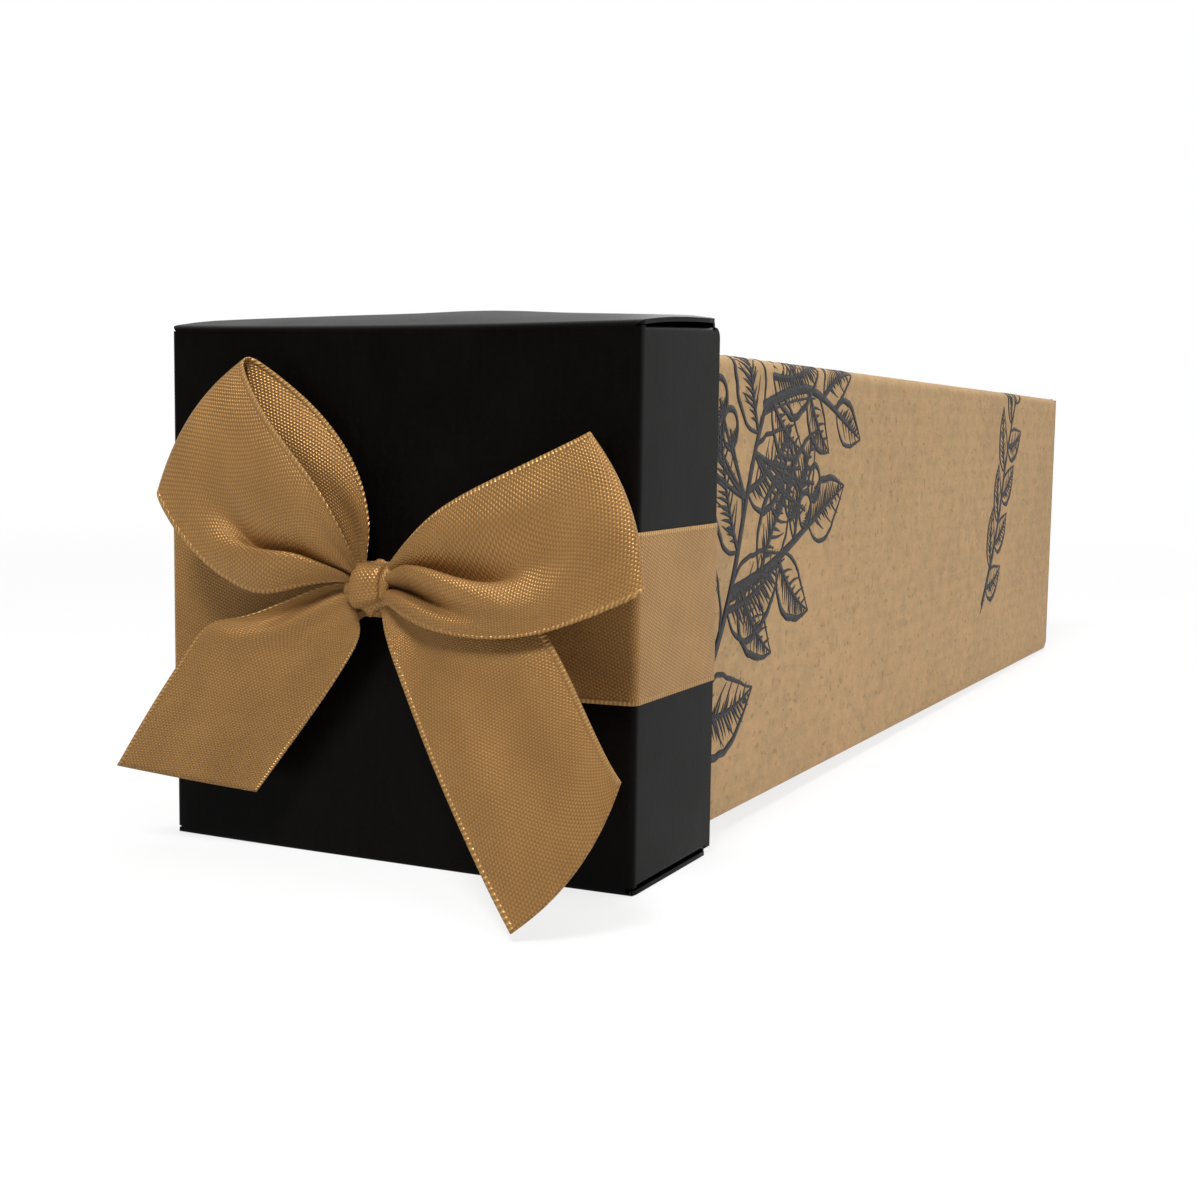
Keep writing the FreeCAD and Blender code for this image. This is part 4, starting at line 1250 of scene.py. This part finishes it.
RIGHT_LOOP = (
    ((-1.6, 1.2, 2.6), (-1.6, 1.6, -1.2), lie(0.3, -0.5, 0.4, 0.6, -0.6, 0.4, 0.4)),
    ((0.1, 1.9, 4.3), (0.0, 2.8, -1.5), ((0.12, 0.5), (0.26, -0.4), (0.40, -1.5), (0.26, 1.0),
     (0.42, 1.2), (0.62, -2.8), (0.60, 1.6))),
    ((3.8, 2.1, 8.6), (6.1, 5.5, -4.1), ((0.12, 0.9), (0.28, 0.2), (0.58, -5.0), (0.18, 2.6),
     (0.42, 3.4), (0.78, -5.6), (0.60, 3.8))),
    ((8.6, 2.2, 12.9), (14.1, 8.0, -5.2), ((0.14, 1.1), (0.36, 0.6), (0.74, -5.8), (0.38, 3.4),
     (0.62, 3.2), (0.80, -1.2), (0.88, 1.4))),
    ((15.2, 2.3, 16.4), (23.1, 9.2, -5.2), ((0.15, 1.3), (0.40, 1.6), (0.78, -4.6), (0.60, 2.6),
     (0.75, 2.8), (0.84, 1.7), (0.92, 0.8))),
    ((23.4, 2.8, 19.9), (30.8, 9.0, -3.7), ((0.13, 1.0), (0.30, 1.7), (0.50, 0.6), (0.68, -1.6),
     (0.78, 0.9), (0.86, 1.3), (0.93, 0.7))),
    ((30.1, 3.5, 22.8), (37.4, 8.0, -1.1), arch(0.9), 1.0),
    ((34.4, 3.9, 24.7), (43.1, 7.0, 1.6), arch(0.5), 2.1),
    ((34.8, 3.0, 25.2), (45.0, 5.8, 2.8), arch(0.2), 2.4),
    ((33.3, 1.6, 24.4), (43.9, 4.4, 3.0), arch(0.0), 2.2),
    ((30.3, 0.8, 22.9), (40.6, 3.2, 2.7), arch(-0.2), 1.4),
    ((23.4, 0.0, 19.8), (32.8, 1.8, 1.7), arch(-0.3), 0.5),
    ((14.6, -0.6, 16.0), (22.3, 0.8, 0.6), arch(-0.3)),
    ((7.0, -1.1, 12.1), (11.5, -0.1, 0.2), arch(-0.2)),
    ((1.4, -1.5, 7.1), (2.9, -1.1, -0.6), lie(0.3, -0.4, 0.4, -0.3, 0.3, -0.2, 0.2)),
    ((-1.6, -1.9, 3.0), (-1.9, -2.1, -1.0), arch(0.3)),
)
LEFT_TAIL = (
    ((1.8, 0.2, 0.2), (2.4, 0.0, -2.2), arch(0.3)),
    ((0.0, 0.5, 0.8), (0.8, 0.2, -2.8), lie(0.4, -0.2, 0.5, -0.3, 0.4, -0.2, 0.2)),
    ((-3.8, 1.6, 0.5), (2.6, 0.3, -5.3), ((0.10, -0.6), (0.20, -1.2), (0.34, 1.6), (0.48, 0.6),
     (0.62, 0.0), (0.75, 0.7), (0.88, 0.2))),
    ((-10.5, 3.2, -2.6), (2.3, 0.5, -8.3), ((0.09, -0.8), (0.18, -1.6), (0.32, 2.2), (0.48, 0.6),
     (0.62, 0.9), (0.75, 0.7), (0.88, 0.3))),
    ((-16.9, 5.0, -5.5), (0.2, 0.7, -11.6), ((0.08, -0.4), (0.17, -0.6), (0.31, 2.2), (0.48, 0.9),
     (0.62, 0.8), (0.77, 0.6), (0.90, 0.2))),
    ((-22.4, 6.2, -5.7), (-2.7, 0.4, -15.5), ((0.04, 1.3), (0.15, 1.9), (0.32, 1.4), (0.48, 0.9),
     (0.64, 0.5), (0.78, 0.3), (0.90, 0.1))),
    ((-25.7, 7.6, -10.8), (-6.9, 0.1, -20.8), arch(0.8)),
    ((-33.7, 7.0, -20.6), (-12.5, 0.3, -27.9), arch(0.6)),
    ((-42.6, 5.1, -31.6), (-17.3, 0.9, -34.2), arch(0.3)),
)
RIGHT_TAIL = (
    ((1.6, 0.2, 4.6), (3.4, 0.6, 5.0), arch(0.2)),
    ((2.6, 0.9, 3.3), (6.5, 1.5, 4.1), lie(0.3, -0.2, 0.3, -0.2, 0.3, -0.1, 0.2)),
    ((3.0, 1.7, 0.5), (13.7, 2.3, 4.5), lie(-0.5, -0.9, 0.0, 0.6, 0.4, 0.6, 0.3)),
    ((5.0, 3.0, -3.3), (23.0, 3.5, 4.3), lie(-0.5, -0.8, -0.1, 0.7, 0.9, 0.8, 0.4)),
    ((9.1, 5.5, -8.5), (31.8, 5.5, 3.7), lie(-0.1, -0.2, 0.3, 0.8, 0.9, 0.8, 0.4)),
    ((14.3, 8.6, -15.2), (37.9, 8.0, -3.2), lie(0.6, 0.7, 0.5, 0.3, 0.4, 0.6, 0.4)),
    ((20.6, 12.5, -22.3), (42.7, 11.5, -8.6), lie(0.7, 0.6, 0.1, -0.1, 0.2, 0.5, 0.4)),
    ((27.1, 16.4, -29.0), (47.0, 14.5, -13.2), lie(0.6, 0.7, 0.4, 0.2, 0.3, 0.4, 0.3)),
    ((32.6, 19.9, -34.2), (49.6, 16.7, -15.2), arch(0.7), 1.2),
    ((37.6, 23.1, -38.2), (51.8, 18.7, -16.4), arch(0.5), 2.4),
)


def line_of(station):
    """A station's two ends, its lie, and how far it is bent away from the root."""
    first, last, across, *bent = station
    ends = [Vector((right, -out, up)) for right, out, up in (first, last)]
    return *ends, across, sum(bent)


def ribbon_length(stations):
    """The length of a ribbon along its middle."""
    middles = [(a + b) / 2 for a, b, *_ in map(line_of, stations)]
    return sum((b - a).length for a, b in zip(middles, middles[1:]))


def build_strip(name, stations, root, node):
    """A smooth ribbon through its stations."""
    ribbon = sizes("bottle_box_ribbon")
    columns = 8
    bm = flat_grid(1, 1, columns, len(stations) - 1)
    layer = bm.verts.layers.float_vector.new("weave")
    verts = sorted(bm.verts, key=lambda v: (round(v.co.y, 4), v.co.x))
    done = 0.0
    middle = None
    for row, station in enumerate(stations):
        a, b, across, bent = line_of(station)
        if middle:
            done += ((a + b) / 2 - middle).length
        middle = (a + b) / 2
        away = Vector((middle.x, 0, middle.z)).normalized()
        for column, (share, out) in enumerate(((0, 0), *across, (1, 0))):
            vert = verts[row * (columns + 1) + column]
            bend = away * bent * 4 * share * (1 - share)
            vert.co = root + a.lerp(b, share) + Vector((0, -out, 0)) + bend
            vert[layer] = (ribbon["width"] * column / columns, done, 0)
    bmesh.ops.recalc_face_normals(bm, faces=bm.faces[:])
    lay_weave(bm, lambda vert, face: vert[layer].xy)
    piece = add_piece(name, bm, "satin_ribbon", "lid", [node], sharp=180)
    add_cloth(piece, ribbon["thickness"], 0, 3)
    flat = (ribbon["width"] * MM, round(ribbon_length(stations)) * MM)


ROOT_BESIDE, ROOT_UNDER = 4.3, 5.2  # from the knot's middle to the ribbons' roots


def build_bow():
    """Two loops and two tails that come out of the knot."""
    centre = knot_place()[0]
    beside = Vector((ROOT_BESIDE, 0, 0))
    under = Vector((0, 0, -ROOT_UNDER))
    build_strip("left_loop", LEFT_LOOP, centre - beside, "bow_left_loop")
    build_strip("right_loop", RIGHT_LOOP, centre + beside, "bow_right_loop")
    build_strip("left_tail", LEFT_TAIL, centre - beside, "bow_left_tail")
    build_strip("right_tail", RIGHT_TAIL, centre + under, "bow_right_tail")


KNOT_SHIFT = 1.2  # how far the turns are pulled to the right
KNOT_GIRTH = 24.0  # length of ribbon once round the knot
CORE_HALF = 4.6  # half the length of the gathered ribbon, before it is drawn in
CORE_DRAWN = 0.8  # the share of that length which is left
CORE_STEPS = 16
CORE_TALL, CORE_DEEP = 2.9, 2.5  # half its height and depth


def circle_across(segments, filled=False):
    """A circle of radius 1 round the X axis."""
    bm = bmesh.new()
    bmesh.ops.create_circle(bm, segments=segments, radius=1.0, cap_ends=filled)
    bmesh.ops.rotate(bm, matrix=Matrix.Rotation(math.pi / 2, 3, "Y"), verts=bm.verts)
    return bm


def build_knot():
    """The turns wrapped round the middle of the bow."""
    ribbon = sizes("bottle_box_ribbon")
    centre, half = knot_place()
    tall, deep = half.z, half.y
    bm = circle_across(32)
    ring = bm.edges[:]
    # Each ring: its place along the knot, its size, how far the ribbon lies from its edge there,
    # and how low it hangs for its size
    rings = ((-2.9, 0.55, 0.0, 0.70), (-3.3, 0.72, 1.0, 0.70), (-3.45, 0.88, 1.8, 0.70),
             (-3.0, 0.97, 2.6, 0.68), (-1.8, 1.02, 3.8, 0.60), (-0.2, 1.01, 5.2, 0.48),
             (1.3, 0.98, 6.2, 0.38), (1.85, 0.95, 6.6, 0.34), (2.0, 0.70, 6.9, 0.32),
             (2.1, 0.94, 7.2, 0.31), (2.6, 0.99, 7.8, 0.30), (3.2, 0.95, 8.9, 0.31),
             (3.6, 0.84, 9.6, 0.34), (3.5, 0.68, 10.0, 0.38), (3.1, 0.55, 10.4, 0.40))
    layer = bm.verts.layers.float_vector.new("weave")
    previous = bm.verts[:]
    x_now, size_now = 0.0, 1.0
    for index, (x, size, across, hang) in enumerate(rings):
        if index:
            previous = extrude(bm, ring, (0, 0, 0))
            new = set(previous)
            ring = [edge for edge in bm.edges if new.issuperset(edge.verts)]
        bmesh.ops.translate(bm, vec=(x - x_now, 0, 0), verts=previous)
        bmesh.ops.scale(bm, vec=(1, size / size_now, size / size_now), verts=previous)
        x_now, size_now = x, size
        for vert in previous:
            vert[layer] = (across, hang, 0)
    for vert in bm.verts:
        x, y, z = vert.co
        angle = math.atan2(z, y)
        flat = 1 / (abs(math.cos(angle)) ** 3 + abs(math.sin(angle)) ** 3) ** (1 / 3)
        slack = 1 + 0.02 * math.sin(3 * angle + x) + 0.015 * math.sin(7 * angle - 2 * x)
        high_or_low = 0.86 + 0.06 * smoothstep(x, 1.9, 2.8) if z > 0 else vert[layer].y
        reach = Vector((0, y * deep * flat * 0.98, z * tall * flat * high_or_low)) * slack
        lean = 0.45 * z * max(0.0, x - 2.0)
        vert.co = Vector((x + KNOT_SHIFT + lean, reach.y, reach.z))
    face_towards(bm, Vector((0, -1, 0)), lambda c: c.y < -deep * 0.8)

    def place_of(vert, face):
        middle = face.calc_center_median()
        own = math.atan2(vert.co.z, vert.co.y)
        near = math.atan2(middle.z, middle.y)
        while own - near > math.pi:
            own -= FULL_TURN
        while near - own > math.pi:
            own += FULL_TURN
        return vert[layer].x + 4, own / FULL_TURN * KNOT_GIRTH

    lay_weave(bm, place_of)
    bm.transform(Matrix.Translation(centre))
    piece = add_piece("knot_turns", bm, "satin_ribbon", "lid", ["knot_wrap"], sharp=180)
    add_cloth(piece, ribbon["thickness"], -1, 1)


def build_core():
    """The gathered ribbon inside the knot's turns."""
    bm = circle_across(48, True)
    face = next(iter(bm.faces))
    bmesh.ops.translate(bm, vec=(-CORE_HALF, 0, 0), verts=bm.verts)
    for _ in range(CORE_STEPS):
        face = bmesh.ops.extrude_discrete_faces(bm, faces=[face])["faces"][0]
        bmesh.ops.translate(bm, vec=(2 * CORE_HALF / CORE_STEPS, 0, 0), verts=face.verts)
    layer = bm.loops.layers.uv.new("ribbon")
    for vert in bm.verts:
        x, y, z = vert.co
        angle = math.atan2(z, y)
        pleats = 1 + 0.06 * math.sin(9 * angle + 0.3 * x) + 0.04 * math.sin(14 * angle + 1)
        waist = 0.86 + 0.14 * (1 - (x / CORE_HALF) ** 2)
        # A fold that stands up above the turns, and the gathers that hang below them
        if z > 0:
            tall = CORE_TALL + 1.7 * math.exp(-(((x - 1.8) / 1.9) ** 4))
        else:
            tall = CORE_TALL + 1.3 * math.exp(-(((x - 0.2) / 1.5) ** 2))
        girth = pleats * waist
        vert.co = Vector((x * CORE_DRAWN, y * CORE_DEEP * girth, z * tall * girth))
    for each in bm.faces:
        for loop in each.loops:
            angle = math.atan2(loop.vert.co.z, loop.vert.co.y)
            loop[layer].uv = (8 + abs(angle) * 3, loop.vert.co.x + 10)
    bmesh.ops.recalc_face_normals(bm, faces=bm.faces[:])
    bm.transform(Matrix.Translation(knot_place()[0]))
    add_piece("gathered_core", bm, "satin_ribbon", "lid", ["knot_core"], sharp=60)


def finish_glue():
    """The glue dot keeps its shape and gets its finish."""
    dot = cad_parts["glue_dot"]
    dot.data.materials.clear()
    dot.data.materials.append(finish_of("clear_glue"))


# The stage


WORLD_LIGHT = 0.19  # strength of the surroundings for what isn't mirrored
DIM_ROOM = 0.08  # strength of the room in front of the box, where the box mirrors it
DIM_FLOOR = 0.6  # strength of the floor in front of the box, where the box mirrors it
FLOOR_SIZE = 6
FLOOR_FADE = (0.25, 0.9)  # distances over which the floor turns to plain white
LAMP_TARGET = (0, 0.08, 0.045)
LAMPS = (
    ("key_softbox", (0.1, -0.7, 1.0), 0.3, 12.8),
    ("top_softbox", (0.15, 0.15, 1.1), 0.7, 5.0),
    ("side_softbox", (1.1, 0.45, 0.5), 0.7, 3.7),
    ("far_softbox", (-0.2, 1.4, 0.6), 0.8, 4.0),
)
CAMERA_PLACE = (146.8, -245.3, 71.4)
CAMERA_ANGLES = (-25.61, -5.91, 0.80)  # yaw, pitch and roll in degrees
CAMERA_LENS = 51.68


def add_lamp(name, place, target, width, power):
    """A soft square lamp that looks at a target."""
    data = bpy.data.lights.new(name, "AREA")
    data.shape = "SQUARE"
    data.size = width
    data.energy = power
    lamp = add_object(name, data)
    lamp.location = place
    lamp.rotation_euler = (Vector(target) - Vector(place)).to_track_quat("-Z", "Y").to_euler()


def build_stage():
    """A white floor, a white background, four soft lamps and the camera."""
    scene = bpy.context.scene
    floor = add_mesh("floor", flat_grid(FLOOR_SIZE, FLOOR_SIZE, 4, 4))
    finish = Finish("white_floor", Specular_IOR_Level=0.1)
    tone = finish.mix(finish.noise(finish.place(), 0.5), colours().floor, shade(colours().floor, 0.99))
    finish.show(Base_Color=tone, Roughness=0.9)
    x, y, _ = finish.split(finish.place())
    away = (x * x + (y - 0.1) * (y - 0.1)) ** 0.5
    mirrored = finish.ray("Glossy")
    strength = 1 - mirrored * finish.fit(y, -0.03, 0.03, 1 - DIM_FLOOR, 0.0)
    glow = finish.node("ShaderNodeEmission", inputs={"Color": (1, 1, 1), "Strength": strength})
    seen = finish.ray("Camera") * finish.fit(away, *FLOOR_FADE, 0.8, 1.0) + mirrored
    lit = Wire(finish, finish.surface.outputs[0])
    mixed = finish.node("ShaderNodeMixShader", inputs={0: seen, 1: lit, 2: glow})
    finish.feed(finish.tree.nodes["Material Output"].inputs["Surface"], mixed)
    floor.data.materials.append(finish.material)

    # White behind the box, and a dim room behind the camera for what the box reflects
    world = bpy.data.worlds.new("studio")
    scene.world = world
    world.use_nodes = True
    sky = Nodes(world.node_tree)
    _, y, _ = sky.split(sky.node("ShaderNodeTexCoord", output="Generated"))
    plain = sky.ray("Camera") + sky.ray("Transmission")
    glossy = sky.ray("Glossy")
    room = sky.fit(y, -0.4, 0.6, DIM_ROOM, 1.0)
    strength = plain + glossy * room + (1 - plain - glossy) * WORLD_LIGHT
    background = sky.tree.nodes["Background"]
    sky.feed(background.inputs["Strength"], strength)
    sky.feed(background.inputs["Color"], (1, 1, 1))

    for name, place, width, power in LAMPS:
        add_lamp(name, place, LAMP_TARGET, width, power)

    data = bpy.data.cameras.new("photo_camera")
    data.lens = CAMERA_LENS
    data.sensor_width = 36
    data.clip_start = 0.01
    data.clip_end = 30
    camera = add_object("photo_camera", data)
    yaw, pitch, roll = map(math.radians, CAMERA_ANGLES)
    look = Vector((math.sin(yaw) * math.cos(pitch), math.cos(yaw) * math.cos(pitch), math.sin(pitch)))
    level = Vector((math.cos(yaw), -math.sin(yaw), 0))
    above = level.cross(look)
    right = level * math.cos(roll) + above * math.sin(roll)
    up = above * math.cos(roll) - level * math.sin(roll)
    turned = Matrix((right, up, -look)).transposed().to_4x4()
    camera.matrix_world = Matrix.Translation(Vector(CAMERA_PLACE) * MM) @ turned
    scene.camera = camera
    scene.view_settings.view_transform = "Standard"


# The add-on's operators and its panel


class BOTTLEBOX_OT_carton(bpy.types.Operator):
    """Build the carton's sleeve and its glued tab"""

    bl_idname = "bottle_box.carton"
    bl_label = "Carton"

    def execute(self, context):
        build_sleeve()
        build_seam_tab()
        return {"FINISHED"}


class BOTTLEBOX_OT_bottom(bpy.types.Operator):
    """Build the tuck flap, its tongue, the dust flaps and their creases"""

    bl_idname = "bottle_box.bottom"
    bl_label = "Bottom flaps"

    def execute(self, context):
        build_bottom()
        return {"FINISHED"}


class BOTTLEBOX_OT_print(bpy.types.Operator):
    """Print the engraved sprigs on the carton"""

    bl_idname = "bottle_box.print"
    bl_label = "Printed sprigs"

    def execute(self, context):
        build_print()
        return {"FINISHED"}


class BOTTLEBOX_OT_lid(bpy.types.Operator):
    """Fold the black lid"""

    bl_idname = "bottle_box.lid"
    bl_label = "Lid"

    def execute(self, context):
        build_lid()
        return {"FINISHED"}


class BOTTLEBOX_OT_ribbon(bpy.types.Operator):
    """Lay the band round the lid"""

    bl_idname = "bottle_box.ribbon"
    bl_label = "Satin band"

    def execute(self, context):
        build_band()
        return {"FINISHED"}


class BOTTLEBOX_OT_bow(bpy.types.Operator):
    """Tie the bow, with its knot and its glue dot"""

    bl_idname = "bottle_box.bow"
    bl_label = "Bow and knot"

    def execute(self, context):
        build_knot()
        build_core()
        build_bow()
        finish_glue()
        return {"FINISHED"}


class BOTTLEBOX_OT_stage(bpy.types.Operator):
    """Set up the floor, the lamps and the camera"""

    bl_idname = "bottle_box.stage"
    bl_label = "Stage"

    def execute(self, context):
        build_stage()
        return {"FINISHED"}


class BOTTLEBOX_PT_panel(bpy.types.Panel):
    """Lists the steps that build the box"""

    bl_label = "Bottle box"
    bl_idname = "BOTTLEBOX_PT_panel"
    bl_space_type = "VIEW_3D"
    bl_region_type = "UI"
    bl_category = "Bottle box"

    def draw(self, context):
        for operator in OPERATORS:
            self.layout.operator(operator.bl_idname)
        for group in GROUPS:
            values = getattr(context.scene, group)
            box = self.layout.box()
            for name in values.__annotations__:
                box.prop(values, name)


OPERATORS = (
    BOTTLEBOX_OT_carton,
    BOTTLEBOX_OT_bottom,
    BOTTLEBOX_OT_print,
    BOTTLEBOX_OT_lid,
    BOTTLEBOX_OT_ribbon,
    BOTTLEBOX_OT_bow,
    BOTTLEBOX_OT_stage,
)
GROUPS = {
    "bottle_box_carton": BottleBoxCarton,
    "bottle_box_lid": BottleBoxLid,
    "bottle_box_ribbon": BottleBoxRibbon,
    "bottle_box_colours": BottleBoxColours,
}


def register():
    for kind in (*GROUPS.values(), *OPERATORS, BOTTLEBOX_PT_panel):
        bpy.utils.register_class(kind)
    for name, kind in GROUPS.items():
        setattr(bpy.types.Scene, name, bpy.props.PointerProperty(type=kind))


def unregister():
    for name in GROUPS:
        delattr(bpy.types.Scene, name)
    for kind in reversed((*GROUPS.values(), *OPERATORS, BOTTLEBOX_PT_panel)):
        bpy.utils.unregister_class(kind)


def main():
    register()
    bpy.ops.bottle_box.carton()
    bpy.ops.bottle_box.bottom()
    bpy.ops.bottle_box.print()
    bpy.ops.bottle_box.lid()
    bpy.ops.bottle_box.ribbon()
    bpy.ops.bottle_box.bow()
    bpy.ops.bottle_box.stage()


if __name__ == "__main__":
    main()
